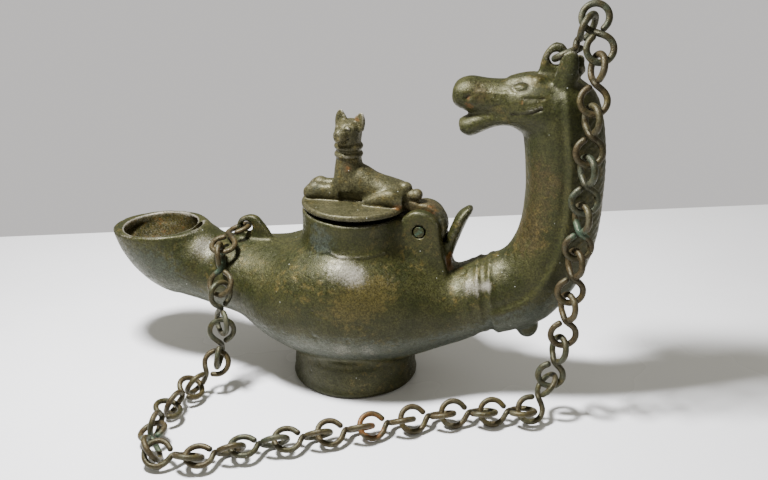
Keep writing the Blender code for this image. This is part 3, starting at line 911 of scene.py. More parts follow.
def blotted(points: Array, blots: Iterable[Blot]) -> Array:
    """How stained each point is by soft round stains."""
    return sum((share * near(points, place, reach) for share, place, reach in blots), np.zeros(len(points)))


def carved(points: Array, strokes: Iterable[Stroke]) -> Array:
    """How deep the strokes lie at each point."""
    return sum((depth * bump(stroke_distance(points, line), width) for line, width, depth in strokes),
               np.zeros(len(points)))


def mirrored(points: Array) -> Array:
    """The points with both sides laid on the near one.

    Args:
        points: Places, one row each.

    Returns:
        The places on the near side.
    """
    folded = points.copy()
    folded[:, 1] = -np.abs(folded[:, 1])
    return folded


def fillet(piece: Piece, rounds: int, strength: float) -> None:
    """Fill inner corners, as the wax of a casting runs, and leave outer edges.

    Args:
        piece: The piece.
        rounds: How wide the fillets are.
        strength: How full they are.
    """
    points, normals = points_of(piece), normals_of(piece)
    spread = neighbour_mean(piece, points, rounds)
    depth = ((spread - points) * normals).sum(1)
    move_points(piece, points + normals * (np.maximum(depth, 0) * strength)[:, None])


def melt(piece: Piece, share: Relief, rounds: int) -> None:
    """Smooth a part of a piece by a share of its points.

    Args:
        piece: The piece.
        share: How much of the smoothing each point takes.
        rounds: How far the smoothing reaches.
    """
    points = points_of(piece)
    spread = neighbour_mean(piece, points, rounds)
    move_points(piece, points + (spread - points) * share(points)[:, None])


def finish_casting(piece: Piece, body: str, replaced: Sequence[str],
                   material: bpy.types.Material) -> None:
    """Dress a piece and let it ride on its body.

    Args:
        piece: The piece.
        body: The body it moves with.
        replaced: The nodes it stands for.
        material: Its finish.
    """
    piece.data.materials.clear()
    piece.data.materials.append(material)
    piece.data.shade_smooth()
    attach(piece, body)
    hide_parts(*replaced)
    LOG.info("%s: %d triangles", piece.name, triangles_of(piece))


# The cast body


def smooth_outline(points: Sequence[Point], per_span: int = 4) -> list[Point]:
    """A curve through the points of an open outline."""
    steps = (len(points) - 1) * per_span
    return [tuple(spline(points, step / per_span)) for step in range(steps + 1)]


@dataclass
class Shell:
    """The skin from the spout's rim to the crown of the horse's head, and the hollow inside it.

    Attributes:
        corner: Where the spout's rim meets the oil chamber's top.
        rim_lean: How far the rim leans back from upright, in degrees.
        root_lean: The same for the spout's root.
        rim_length: How long the rim is.
        root_length: How deep the root is.
        swell: How fast the spout deepens.
        half_width: Half the rim's width.
        chamber: The oil chamber's sections.
        neck: The sections of the handle and the horse's neck.
        bands: The ridges and grooves at the handle's root: place, half width and height.
        mane_edge: Where the mane's ridge starts, in degrees round the neck from its front.
        around: Points round each ring.
        spout_rings: How many rings the spout has.
        chamber_step: How far apart the oil chamber's rings are, in sections.
        neck_step: The same for the handle and the neck.
        hollow_rings: How many rings the hollow has in the spout.
        hollow_steps: Where the hollow's other rings start and end and how far apart they are, in sections.
    """

    corner: Point = (-61.3, 57.1)
    rim_lean: float = 87.0
    root_lean: float = 23.6
    rim_length: float = 39.2
    root_length: float = 30.8
    swell: float = 0.75
    half_width: float = 16.1
    chamber: tuple[Section, ...] = (
        Section((-63.4, 26.0), (-55.0, 53.6), 14.9),
        Section((-54.3, 24.3), (-47.3, 53.9), 17.4),
        Section((-43.6, 22.2), (-38.1, 53.9), 20.2),
        Section((-32.2, 15.6), (-28.2, 54.6), 25.6, 2.1),
        Section((-17.3, 9.8), (-16.0, 58.6), 29.8, 2.5),
        Section((-0.3, 7.6), (-0.3, 61.8), 31.4, 2.8),
        Section((18.5, 10.2), (18.2, 57.4), 27.4, 2.5),
        Section((36.2, 16.9), (36.2, 49.6), 18.4, 2.1),
        Section((46.2, 21.0), (43.4, 51.0), 15.2),
    )
    neck: tuple[Section, ...] = (
        Section((54.0, 25.6), (49.0, 53.6), 13.8),
        Section((60.6, 26.0), (54.6, 56.2), 13.4),
        Section((75.2, 33.2), (58.6, 59.2), 12.4),
        Section((85.6, 48.8), (62.2, 66.0), 11.4),
        Section((90.6, 66.0), (63.8, 73.6), 10.4),
        Section((91.6, 84.0), (64.4, 84.6), 10.2),
        Section((91.2, 97.0), (63.6, 95.4), 10.4),
        Section((89.4, 110.0), (62.4, 106.5), 10.8),
        Section((86.0, 119.0), (64.0, 115.5), 10.0),
        Section((80.0, 124.0), (68.0, 121.6), 6.0),
    )
    bands: tuple[Point3, ...] = ((-0.62, 0.16, 0.5), (-0.30, 0.10, 0.35), (-0.05, 0.16, 0.9),
                                 (0.16, 0.05, -0.35), (0.3, 0.14, -0.5), (0.68, 0.2, 0.9))
    mane_edge: float = 98.0
    around: int = 160
    spout_rings: int = 28
    chamber_step: float = 1 / 6
    neck_step: float = 0.06
    hollow_rings: int = 13
    hollow_steps: Point3 = (0.5, 8.61, 0.45)

    def spout(self, steps: int) -> list[Section]:
        """The spout's sections, which fan round its inner corner from the rim to the root.

        Args:
            steps: How many there are.

        Returns:
            The sections.
        """
        sections = []
        for part in np.linspace(0, 1, steps):
            lean = math.radians(self.rim_lean + (self.root_lean - self.rim_lean) * part)
            length = self.root_length + (self.rim_length - self.root_length) * (1 - part) ** self.swell
            high = (self.corner[0] + 1.4 * part, self.corner[1] - 0.9 * part)
            low = (high[0] - length * math.sin(lean), high[1] - length * math.cos(lean))
            sections.append(Section(low, high, self.half_width - 0.5 * part))
        return sections

    def banding(self, position: float) -> float:
        """How far the ridges at the handle's root stand out."""
        return sum(height * float(bump(np.array(position - 1 - centre), half))
                   for centre, half, height in self.bands)

    def mane(self, angles: Array, position: float) -> Array:
        """How far the mane stands out round the neck: a groove, a ridge, and the flat behind them.

        Args:
            angles: Angles round the neck from its front, in degrees.
            position: How far up the neck, in sections.

        Returns:
            One height for each angle.
        """
        side = np.where(angles <= 180, angles, 360 - angles)
        strength = min(max((position - 1.5) / 0.5, 0.0), 1.0)
        edge = self.mane_edge
        ridge = ease(side, edge - 2, edge + 1) - 0.45 * ease(side, edge + 3, edge + 14)
        return strength * (ridge - 0.6 * bump(side - edge + 4.5, 4.5))

    def build(self) -> Piece:
        """The skin as one closed solid.

        Returns:
            The closed solid.
        """
        spout, chamber, neck = Loft(self.spout(self.spout_rings)), Loft(self.chamber), Loft(self.neck)
        ring = Loft((), around=self.around).ring
        first, middle, last = spout.rows(), chamber.rows(), neck.rows()
        rings = [ring(values) for values in first]
        step = self.chamber_step
        rows = np.vstack([first[-1:], middle, last[:1]])
        rings += [ring(spline(rows, position)) for position in np.arange(step, len(middle) + 0.05, step)]
        rows = np.vstack([middle[-1:], last])
        for position in np.arange(0.1, len(last) + 0.01, self.neck_step):
            band = self.banding(position)
            rings.append(ring(spline(rows, position), lambda a, p=position, b=band: b + self.mane(a, p)))
        return solid_of_rings("lamp_body", rings)

    def hollow(self) -> Piece:
        """The space inside the spout and the oil chamber, one wall in.

        Returns:
            The cutting tool.
        """
        first, middle = Loft(self.spout(self.hollow_rings)).rows(), Loft(self.chamber).rows()
        ring = Loft((), around=64, inset=WALL).ring
        rings = [ring(values) for values in first[1:]]
        rows = np.vstack([first[-1:], middle])
        rings += [ring(spline(rows, position)) for position in np.arange(*self.hollow_steps)]
        return solid_of_rings("hollow", rings)


@dataclass
class Collar:
    """The turned foot and the filling hole's collar.

    Attributes:
        foot: The foot's profile, as radius and height.
        well: The round well inside the foot: its radius, its floor and its top.
        centre: The collar's middle along X.
        profile: The collar's profile, as radius and height.
        bore: The filling hole's radius.
        fall: How the rim, lowered by wear, falls along X and Y.
        fall_heights: From what height on it falls, and where all of it does.
        hole_heights: How deep and how high the filling hole is cut.
        well_corner: How far the well's bottom corner is cut off.
        around: Points round the foot and the collar.
    """

    foot: tuple[Point, ...] = (
        (9.0, 0.0), (9.8, 1.6), (19.6, 1.6), (20.4, 0.0), (23.7, 0.0), (24.6, 0.4), (25.0, 1.3), (24.75, 2.2),
        (24.3, 3.0), (24.2, 7.0), (23.8, 11.5), (23.2, 13.0), (23.6, 14.5))
    well: Point3 = (18.5, 3.6, 14.6)
    centre: float = 0.9
    profile: tuple[Point, ...] = ((21.6, 48.0), (21.6, 56.8), (21.5, 57.6), (21.0, 58.8), (20.7, 60.2),
                                  (20.5, 62.0), (20.3, 66.0), (20.4, 70.2), (20.2, 70.7))
    bore: float = 18.0
    fall: Point = (-0.022, 0.032)
    fall_heights: Point = (64.0, 70.0)
    hole_heights: Point = (44.0, 80.0)
    well_corner: float = 1.5
    around: int = 160

    def build(self) -> list[Piece]:
        """The foot and the collar.

        Returns:
            Two closed solids.
        """
        collar = turned("collar", self.profile, (self.centre, 0.0), self.around)
        points = points_of(collar)
        share = ease(points[:, 2], *self.fall_heights)
        points[:, 2] += share * (self.fall[0] * (points[:, 0] - self.centre) + self.fall[1] * points[:, 1])
        move_points(collar, points)
        return [turned("foot", self.foot, count=self.around), collar]

    def tools(self) -> list[Piece]:
        """The filling hole and the foot's well.

        Returns:
            The cutting tools.
        """
        (radius, floor, top), corner = self.well, self.well_corner
        bore = [(self.bore, height) for height in self.hole_heights]
        well = [(radius - corner, floor), (radius, floor + corner), (radius, top)]
        return [turned("filling_hole", bore, (self.centre, 0.0)), turned("foot_well", well)]


@dataclass
class Hinge:
    """The two cheeks of the hinge, the slot's floor, the pin and the leaf-shaped stop behind them.

    Attributes:
        pin: Where the pin's axis is, as (x, z).
        pin_radius: The pin's radius.
        hole_radius: The radius of the holes that it goes through.
        inner: How far the cheeks' inner faces are from the middle.
        outer: The same for their outer faces.
        radius: The radius of a cheek's round top.
        base: How deep the cheeks reach.
        knuckle_radius: The radius of the lid's knuckle, which the slot clears.
        leaf: The leaf's middle line with its half width and half thickness.
    """

    pin: Point = (27.0, 65.4)
    pin_radius: float = 2.1
    hole_radius: float = 2.5
    inner: float = 4.1
    outer: float = 8.8
    radius: float = 8.0
    base: float = 47.0
    knuckle_radius: float = 9.7
    leaf: tuple[tuple[float, ...], ...] = (
        (35.2, 46.0, 4.8, 2.6), (36.0, 53.0, 4.4, 2.5), (37.5, 58.5, 4.6, 2.4), (39.6, 64.4, 5.6, 2.4),
        (41.9, 69.8, 5.4, 2.4), (45.2, 73.9, 2.6, 1.3))

    def cheek(self, side: int) -> Piece:
        """One cheek, a rounded swelling that grows out of the collar.

        Args:
            side: -1 for the near side and 1 for the far side.

        Returns:
            The closed solid.
        """
        outline = [(20.0, self.base), (20.0, 60.0), (19.2, 68.0)]
        outline += arc(self.pin, self.radius, 142.0, 0.0, 28)
        outline += [(36.4, 56.0), (38.6, self.base)]
        middle = side * (self.inner + self.outer) / 2
        return plate("cheek", outline, (self.outer - self.inner) / 2, 0.9, middle)

    def saddle(self) -> Piece:
        """The floor of the slot, hollowed round the knuckle.

        Returns:
            The closed solid.
        """
        outline = [(20.4, self.base), (20.4, 57.2)]
        outline += arc(self.pin, self.knuckle_radius + 0.5, 236.0, 318.0, 18)
        outline += [(38.0, self.base)]
        return plate("saddle", outline, self.inner + 0.8)

    def stop(self) -> Piece:
        """The leaf-shaped stop.

        Returns:
            The closed solid.
        """
        a = circle(36)
        rings = []
        rows = [spline(self.leaf, step / 8) for step in range(8 * (len(self.leaf) - 1) + 1)]
        for step, (x, z, width, thick) in enumerate(rows):
            ahead, behind = rows[min(step + 1, len(rows) - 1)], rows[max(step - 1, 0)]
            along = unit(np.array([ahead[0] - behind[0], 0, ahead[1] - behind[1]]))
            across = np.array([along[2], 0, -along[0]])
            rings.append(np.array([x, 0, z]) + np.c_[0 * a, width * np.cos(a), 0 * a]
                         + across * (thick * np.sin(a))[:, None])
        return solid_of_rings("leaf", rings)

    def build(self) -> list[Piece]:
        """The cheeks, the slot's floor and the leaf."""
        return [self.cheek(-1), self.cheek(1), self.saddle(), self.stop()]

    def outer_sides(self, points: Array) -> Array:
        """1 round the foot of the cheeks' outer faces, which run softly into the collar and the chamber.

        Args:
            points: Places, one row each.

        Returns:
            One share for each point.
        """
        folded = mirrored(points)
        foot = near(folded, (self.pin[0] - 4.0, -self.outer, 56.0), 17.0)
        return foot ** 0.5 * ease(-folded[:, 1], 6.0, 8.4)

    def tools(self) -> list[Piece]:
        """The hole for the pin."""
        return [rod("pin_hole", self.pin, self.hole_radius, self.outer + 2.0)]

    def pin_piece(self, material: bpy.types.Material) -> Piece:
        """The pin, with its ends hammered round and a little below the cheeks' faces.

        Args:
            material: Its finish.

        Returns:
            The finished pin.
        """
        pin = rod("pin", self.pin, self.pin_radius, self.outer - 0.2, 64)
        only(pin)
        bpy.ops.object.mode_set(mode="EDIT")
        bpy.ops.mesh.select_mode(type="FACE")
        bpy.ops.mesh.select_all(action="DESELECT")
        bpy.ops.object.mode_set(mode="OBJECT")
        for face in pin.data.polygons:
            face.select = abs(face.normal.y) > 0.9
        bpy.ops.object.mode_set(mode="EDIT")
        bpy.ops.mesh.bevel(offset=0.45 * MM, segments=3)
        bpy.ops.mesh.inset(thickness=0.55 * MM)
        bpy.ops.mesh.inset(thickness=0.55 * MM)
        bpy.ops.object.mode_set(mode="OBJECT")
        apply_modifier(pin, "REMESH", mode="VOXEL", voxel_size=0.22 * MM)
        carve(pin, lambda points: 0.07 * layered_noise(points, 1.4, 71) - 0.04)
        points = points_of(pin)
        ring = bump(np.hypot(points[:, 0] - self.pin[0], points[:, 2] - self.pin[1]) - 1.2, 0.5)
        paint(pin, {"green": 0.42 + 0.2 * layered_noise(points, 3.0, 72), "hollow": 0.5 * ring,
                    "cool": np.full(len(points), 0.3)})
        finish_casting(pin, "lamp", ["hinge_pin"], material)
        return pin


@dataclass
class HorseHead:
    """The horse's head, its jaw and ears, the chain's lug on its crown, and the knob below the neck.

    Attributes:
        head: The head's sections, from the poll to the muzzle.
        jaw: The lower jaw's sections.
        ears: The near ear and the far one, both laid on the far side: base, tip and half sizes at the base.
        ear_taper: How wide they are on the way up, as pairs of share and width.
        lug: The lug's outline.
        lug_half: Half the lug's thickness.
        lug_hole: Where the hole in the lug is, as (x, z).
        hole_radius: That hole's radius.
        knob: The middle of the knob below the neck.
        knob_half: The knob's half sizes.
        eye: The near eye's middle.
        eye_shape: How much closer the eye's ends are along X, Y and Z than a round eye's.
        brow: The line of the brow.
        forelock: The lump at the mane's top.
        strokes: The lines of the nostril, the mouth, the cheek and the muzzle.
        folds: From what height on the face is carved, and where all of it is.
    """

    head: tuple[Section, ...] = (
        Section((80.0, 101.0), (80.0, 123.6), 9.6),
        Section((72.0, 99.5), (72.0, 124.8), 10.6),
        Section((65.5, 101.9), (66.0, 125.0), 10.4),
        Section((60.0, 105.0), (60.5, 124.0), 9.3),
        Section((54.5, 108.2), (55.0, 122.4), 7.2),
        Section((48.6, 109.2), (49.0, 122.5), 6.4),
        Section((43.4, 110.2), (43.0, 123.0), 6.6),
        Section((39.2, 111.6), (38.6, 121.2), 5.6),
        Section((37.2, 113.4), (37.0, 118.2), 3.4),
    )
    jaw: tuple[Section, ...] = (
        Section((62.0, 105.4), (62.0, 112.0), 7.4),
        Section((56.0, 106.0), (56.0, 112.5), 6.4),
        Section((51.5, 104.9), (51.2, 112.6), 5.8),
        Section((47.5, 102.9), (47.0, 111.2), 5.5),
        Section((43.6, 101.3), (42.6, 108.9), 5.1),
        Section((40.4, 102.6), (39.4, 107.2), 3.6),
    )
    ears: tuple[tuple[Point3, Point3, Point], ...] = (
        ((75.6, 6.3, 121.5), (77.6, 7.4, 135.4), (4.1, 1.9)),
        ((77.0, 6.2, 121.5), (80.0, 7.2, 131.0), (3.4, 2.0)))
    ear_taper: tuple[Point, ...] = (
        (0.0, 1.0), (0.35, 1.0), (0.65, 0.88), (0.82, 0.72), (0.93, 0.52), (0.96, 0.3))
    lug: tuple[Point, ...] = (
        (65.8, 119.0), (66.4, 125.0), (67.4, 130.4), (69.0, 133.6), (71.4, 135.7), (73.8, 135.6),
        (75.8, 133.6), (77.0, 130.0), (78.0, 119.0))
    lug_half: float = 1.8
    lug_hole: Point = (72.3, 130.4)
    hole_radius: float = 2.3
    knob: Point3 = (68.2, 0.0, 28.0)
    knob_half: Point3 = (4.4, 3.9, 5.4)
    eye: Point3 = (61.3, -6.2, 121.2)
    eye_shape: Point3 = (0.75, 1.0, 1.25)
    brow: tuple[Point3, ...] = ((57.2, -2.6, 122.9), (61.8, -2.3, 124.2), (66.8, -4.6, 123.7))
    forelock: Point3 = (81.0, -5.6, 125.4)
    strokes: tuple[Stroke, ...] = (
        Stroke(((43.6, -7.0, 117.3), (42.6, -6.8, 116.4)), 1.4, 0.8),
        Stroke(((40.2, -7.0, 117.6), (41.6, -7.0, 120.2)), 1.0, -0.35),
        Stroke(((47.0, -6.4, 112.0), (50.5, -7.0, 113.4), (54.0, -7.2, 114.6)), 0.9, 0.35),
        Stroke(((58.9, -8.2, 111.8), (65.2, -10.0, 113.0), (68.8, -10.3, 114.7)), 0.95, 0.6),
        Stroke(((59.2, -8.4, 113.3), (65.4, -10.2, 114.3), (68.9, -10.4, 115.7)), 0.7, -0.35),
        Stroke(((62.8, -8.9, 117.8), (69.4, -9.3, 118.3)), 0.7, 0.55),
        Stroke(((63.0, -9.2, 116.5), (69.0, -9.5, 116.9)), 0.6, 0.4),
        Stroke(((56.2, -6.6, 118.6), (52.0, -6.6, 118.9), (47.5, -6.5, 119.0)), 1.6, -0.4),
        Stroke(((57.0, -7.8, 110.0), (62.0, -9.3, 106.6)), 2.0, -0.45),
    )
    folds: Point = (98.0, 101.0)

    def ear(self, side: int) -> Piece:
        """One pricked ear, hollowed in front.

        Args:
            side: -1 for the near side and 1 for the far side.

        Returns:
            The closed solid.
        """
        a = circle(28)
        base, tip, half = (np.array(value) for value in self.ears[side > 0])
        shares, widths = zip(*self.ear_taper)
        rings = []
        for part in np.linspace(0, shares[-1], 14):
            swell = np.interp(part, shares, widths)
            oval = np.c_[half[0] * swell * np.cos(a), half[1] * swell * np.sin(a), 0 * a]
            ring = base + (tip - base) * part + oval
            ring[:, 1] -= 0.9 * swell * bump(np.cos(a) + 0.55, 0.7) * (np.sin(a) > 0)
            rings.append(ring * np.array([1, side, 1]))
        return solid_of_rings("ear", rings)

    def build(self) -> list[Piece]:
        """The head, the jaw, the ears, the lug and the knob.

        Returns:
            Closed solids that overlap.
        """
        lug = plate("head_lug", smooth_outline(self.lug), self.lug_half, 0.5)
        return [Loft(self.head).build("head"), Loft(self.jaw).build("jaw"), self.ear(-1), self.ear(1), lug,
                egg("knob", self.knob, self.knob_half)]

    def tools(self) -> list[Piece]:
        """The hole in the lug."""
        return [rod("head_lug_hole", self.lug_hole, self.hole_radius, 6.0)]

    def relief(self, points: Array) -> Array:
        """The carving of the face, alike on both sides, in millimetres out from the skin.

        Args:
            points: Places, one row each.

        Returns:
            One height for each point.
        """
        folded = mirrored(points)
        to_eye = np.linalg.norm((folded - np.array(self.eye)) * np.array(self.eye_shape), axis=1)
        total = 0.40 * bump(to_eye, 1.8) - 0.30 * bump(to_eye - 2.3, 0.85)
        total += 0.75 * bump(stroke_distance(folded, self.brow), 2.4) + 1.2 * near(folded, self.forelock, 2.8)
        return (total - carved(folded, self.strokes)) * ease(points[:, 2], *self.folds)


@dataclass
class LampBody:
    """The lamp's one casting, with everything that is cast in one with it.

    Attributes:
        shell: The spout, the oil chamber and the neck.
        collar: The foot and the collar.
        hinge: The hinge's cheeks and the leaf.
        horse: The horse's head.
        lug: The outline of the chain's lug behind the spout.
        lug_hole: Where the hole in that lug is, as (x, z).
        lug_hole_radius: That hole's radius.
        wick_hole: The wick hole's middle along X and its half sizes along X and Y.
        wick_heights: How deep and how high the wick hole is cut.
        seam: The raised line of a seam that runs on the chamber's top.
        scratches: The lines that are scratched into the skin.
        blots: The patina's round stains by name; those of "edge" are painted highlights, bright specks where
            light falls, and the one of "hollow" is painted shade on the horse's head.
        melting: How far round the cheeks the casting is softened.
        fillets: How wide and how full the inner corners are filled.
        coarse: The voxel of the first remesh.
        fine: The voxel of the second one.
        triangles: How many triangles the finished piece may have.
    """

    shell: Shell = field(default_factory=Shell)
    collar: Collar = field(default_factory=Collar)
    hinge: Hinge = field(default_factory=Hinge)
    horse: HorseHead = field(default_factory=HorseHead)
    lug: tuple[Point, ...] = (
        (-47.9, 50.0), (-47.9, 58.0), (-46.4, 61.6), (-43.0, 63.3), (-39.4, 63.0), (-36.6, 60.0),
        (-33.6, 55.5), (-31.5, 50.0))
    lug_hole: Point = (-43.3, 58.6)
    lug_hole_radius: float = 2.3
    wick_hole: Point3 = (-80.75, 14.8, 14.2)
    wick_heights: Point = (51.0, 62.0)
    seam: tuple[Point3, ...] = ((-16.0, -15.0, 54.8), (-12.3, -19.2, 56.2), (-4.6, -20.1, 59.8),
                                (0.3, -21.4, 58.0), (9.3, -19.6, 58.5), (15.7, -15.0, 59.2))
    scratches: tuple[tuple[Point3, Point3], ...] = (
        ((69.1, -9.6, 86.7), (74.6, -10.4, 87.9)), ((-8.0, -31.0, 40.0), (-1.0, -32.0, 37.5)),
        ((20.0, -28.0, 44.0), (26.0, -26.0, 41.5)), ((-72.0, -15.0, 44.0), (-64.0, -15.5, 40.0)))
    blots: dict[str, tuple[Blot, ...]] = field(default_factory=lambda: {
        # painted shade: a dark blot on the horse's head, which faces the key light
        "hollow": (Blot(0.35, (62.0, -6.0, 121.0), 11.0),),
        # painted highlights: pale speckled patches where light falls on the shoulders, the spout's root, the
        # handle's root and the belly's ridge
        "edge": (Blot(0.42, (1.5, -23.5, 54.5), 12.0), Blot(0.30, (8.7, -25.0, 51.7), 8.0),
                 Blot(0.42, (-57.5, -8.7, 51.6), 12.0), Blot(0.42, (47.9, -11.3, 46.7), 7.0),
                 Blot(0.45, (53.5, -12.0, 48.0), 4.0), Blot(0.34, (2.0, -28.0, 24.0), 8.0),
                 Blot(0.34, (12.0, -26.0, 23.7), 8.0), Blot(0.22, (20.0, -22.0, 52.0), 9.0),
                 Blot(0.18, (-30.0, -12.0, 53.0), 10.0)),
        "cool": (Blot(0.50, (-78.0, -14.0, 42.0), 22.0), Blot(0.55, (-8.0, -18.0, 63.0), 13.0),
                 Blot(0.50, (81.0, -5.0, 128.0), 9.0)),
        "warm": (Blot(0.60, (6.1, -29.6, 42.2), 17.0), Blot(0.45, (18.0, -25.0, 49.0), 16.0),
                 Blot(0.25, (-28.0, -20.0, 46.0), 18.0), Blot(0.50, (66.0, -4.0, 123.0), 7.0),
                 Blot(0.50, (81.1, -6.6, 125.8), 5.0), Blot(0.30, (50.0, -12.0, 45.0), 12.0)),
        "brown": (Blot(0.50, (69.0, -9.0, 88.0), 19.0), Blot(0.55, (66.0, -8.0, 68.0), 17.0),
                  Blot(0.50, (47.0, -5.0, 118.0), 10.0), Blot(0.40, (28.0, -10.0, 66.0), 12.0)),
        "rust": (Blot(0.95, (37.6, -3.0, 52.6), 6.5), Blot(0.45, (62.6, -9.5, 116.2), 3.2),
                 Blot(0.50, (44.0, -5.6, 113.4), 4.2), Blot(0.35, (43.3, -6.4, 117.0), 2.4),
                 Blot(0.35, (76.0, -6.0, 130.0), 6.0), Blot(0.80, (42.0, -5.0, 53.0), 5.0)),
        "green": (Blot(0.30, (70.0, -12.0, 40.0), 14.0), Blot(0.25, (-2.0, -24.0, 8.0), 16.0)),
    })
    melting: int = 90
    fillets: tuple[int, float] = (16, 0.75)
    coarse: float = 0.75
    fine: float = 0.62
    triangles: int = 185000

    def wick_tool(self) -> Piece:
        """The round hole in the spout's flat rim.

        Returns:
            The cutting tool.
        """
        a = circle(96)
        middle, half_x, half_y = self.wick_hole
        rings = [np.c_[middle + half_x * np.cos(a), half_y * np.sin(a), np.full(len(a), height)]
                 for height in self.wick_heights]
        return solid_of_rings("wick_tool", rings)

    def relief(self, points: Array) -> Array:
        """The casting's skin with its wear and its carving, in millimetres out from the sections.

        Args:
            points: Places, one row each.

        Returns:
            One height for each point.
        """
        total = 0.16 * layered_noise(points, 14.0, 3) + 0.07 * layered_noise(points, 3.2, 11)
        total -= 0.16 * ease(lattice_noise(points, 1.5, 21), 0.45, 0.85)
        total += self.horse.relief(points)
        total += 0.35 * bump(stroke_distance(points, self.seam), 0.9)
        for line in self.scratches:
            total -= 0.16 * bump(stroke_distance(points, line), 0.7)
        return total

    def hair(self, points: Array) -> Array:
        """The mane's slanting locks on the back of the neck.

        Args:
            points: Places, one row each.

        Returns:
            One height for each point.
        """
        x, y, z = points.T
        behind = ease(x, 79.5, 84.0) * ease(z, 44.0, 56.0) * ease(-z, -121.0, -116.0)
        wave = np.sin((z + 0.8 * np.abs(y) - 0.45 * x) * 2 * math.pi / 3.1)
        return 0.11 * behind * wave * (0.5 + 0.5 * lattice_noise(points, 6.0, 15))

    def stains(self, piece: Piece) -> dict[str, Array]:
        """The patina's stains, from where such a lamp gathers grime and wear, with painted highlights, basin
        light, floor reflection and head shade.

        Args:
            piece: The casting.

        Returns:
            Each stain's strength at every point, by name.
        """
        points, normals = points_of(piece), normals_of(piece)
        fine, wide = hollows_of(piece, 3, 0.22), hollows_of(piece, 14, 0.9)
        clouds = layered_noise(points, 16.0, 31)
        x, y, z = points.T
        # downward faces low on the body, which take the painted grey-blue reflection of the floor
        lower = ease(-normals[:, 2], -0.05, 0.55) * ease(-z, -60.0, -44.0)
        bore = self.wick_hole[0]
        off = np.hypot((x - bore) / self.wick_hole[1], y / self.wick_hole[2])
        inward = -(normals[:, 0] * (x - bore) + normals[:, 1] * y) / self.wick_hole[1]
        # the inside of the wick hole's basin: its colour is brightened there as painted light, on a partly
        # real brown
        basin = bump(off, 1.9) * np.maximum(ease(inward, 0.05, 0.4), bump(off, 0.8)) * ease(z, 30.0, 34.0)
        stains = {name: blotted(points, blots) for name, blots in self.blots.items()}
        stains["hollow"] += (np.maximum(fine, 0) * 0.9 + np.maximum(wide, 0) * 0.7) * (1.0 - 0.9 * basin)
        stains["edge"] += (np.maximum(-fine, 0) * 0.35 + np.maximum(-wide, 0) * 0.3 + 0.46 * basin
                           + 0.9 * bump(stroke_distance(points, self.scratches[0]), 0.9))
        # painted reflection of the pale floor: grey-blue on downward faces and towards the bottom, partly a
        # real patina tint
        stains["cool"] += 0.62 * lower * ease(z, 14.0, 20.0) + 0.25 * clouds * ease(-z, -62.0, -40.0)
        # painted light inside the spout's basin, in the brown of its inside
        for name, share in (("warm", 0.9), ("brown", 0.3), ("rust", 0.5)):
            stains[name] += share * basin
        return stains

    def build(self, material: bpy.types.Material) -> Piece:
        """Cast the body and dress it.

        Args:
            material: Its finish.

        Returns:
            The finished casting.
        """
        parts = [self.shell.build()] + self.collar.build() + self.hinge.build() + self.horse.build()
        parts.append(plate("chain_lug", smooth_outline(self.lug), 1.6, 0.4))
        body = fuse("casting", parts, self.coarse)
        melt(body, self.hinge.outer_sides, self.melting)
        tool = fuse_tools([self.shell.hollow(), self.wick_tool()] + self.collar.tools())
        boolean(body, tool, Cut.TAKE)
        lug_hole = rod("chain_lug_hole", self.lug_hole, self.lug_hole_radius, 6.0)
        for hole in self.hinge.tools() + self.horse.tools() + [lug_hole]:
            boolean(body, hole, Cut.TAKE)
        apply_modifier(body, "REMESH", mode="VOXEL", voxel_size=self.fine * MM)
        fillet(body, *self.fillets)
        apply_modifier(body, "SMOOTH", factor=0.5, iterations=3)
        carve(body, lambda points: self.relief(points) + self.hair(points))
        paint(body, self.stains(body))
        thin_out(body, self.triangles)
        finish_casting(body, "lamp", ["lamp_body"], material)
        return body


def fuse_tools(tools: Sequence[Piece]) -> Piece:
    """Join cutting tools into one by Booleans.

    Args:
        tools: The tools, which are used up.

    Returns:
        The joined tool.
    """
    first, *others = tools
    for tool in others:
        boolean(first, tool, Cut.ADD)
    return first


# The lid and its dog


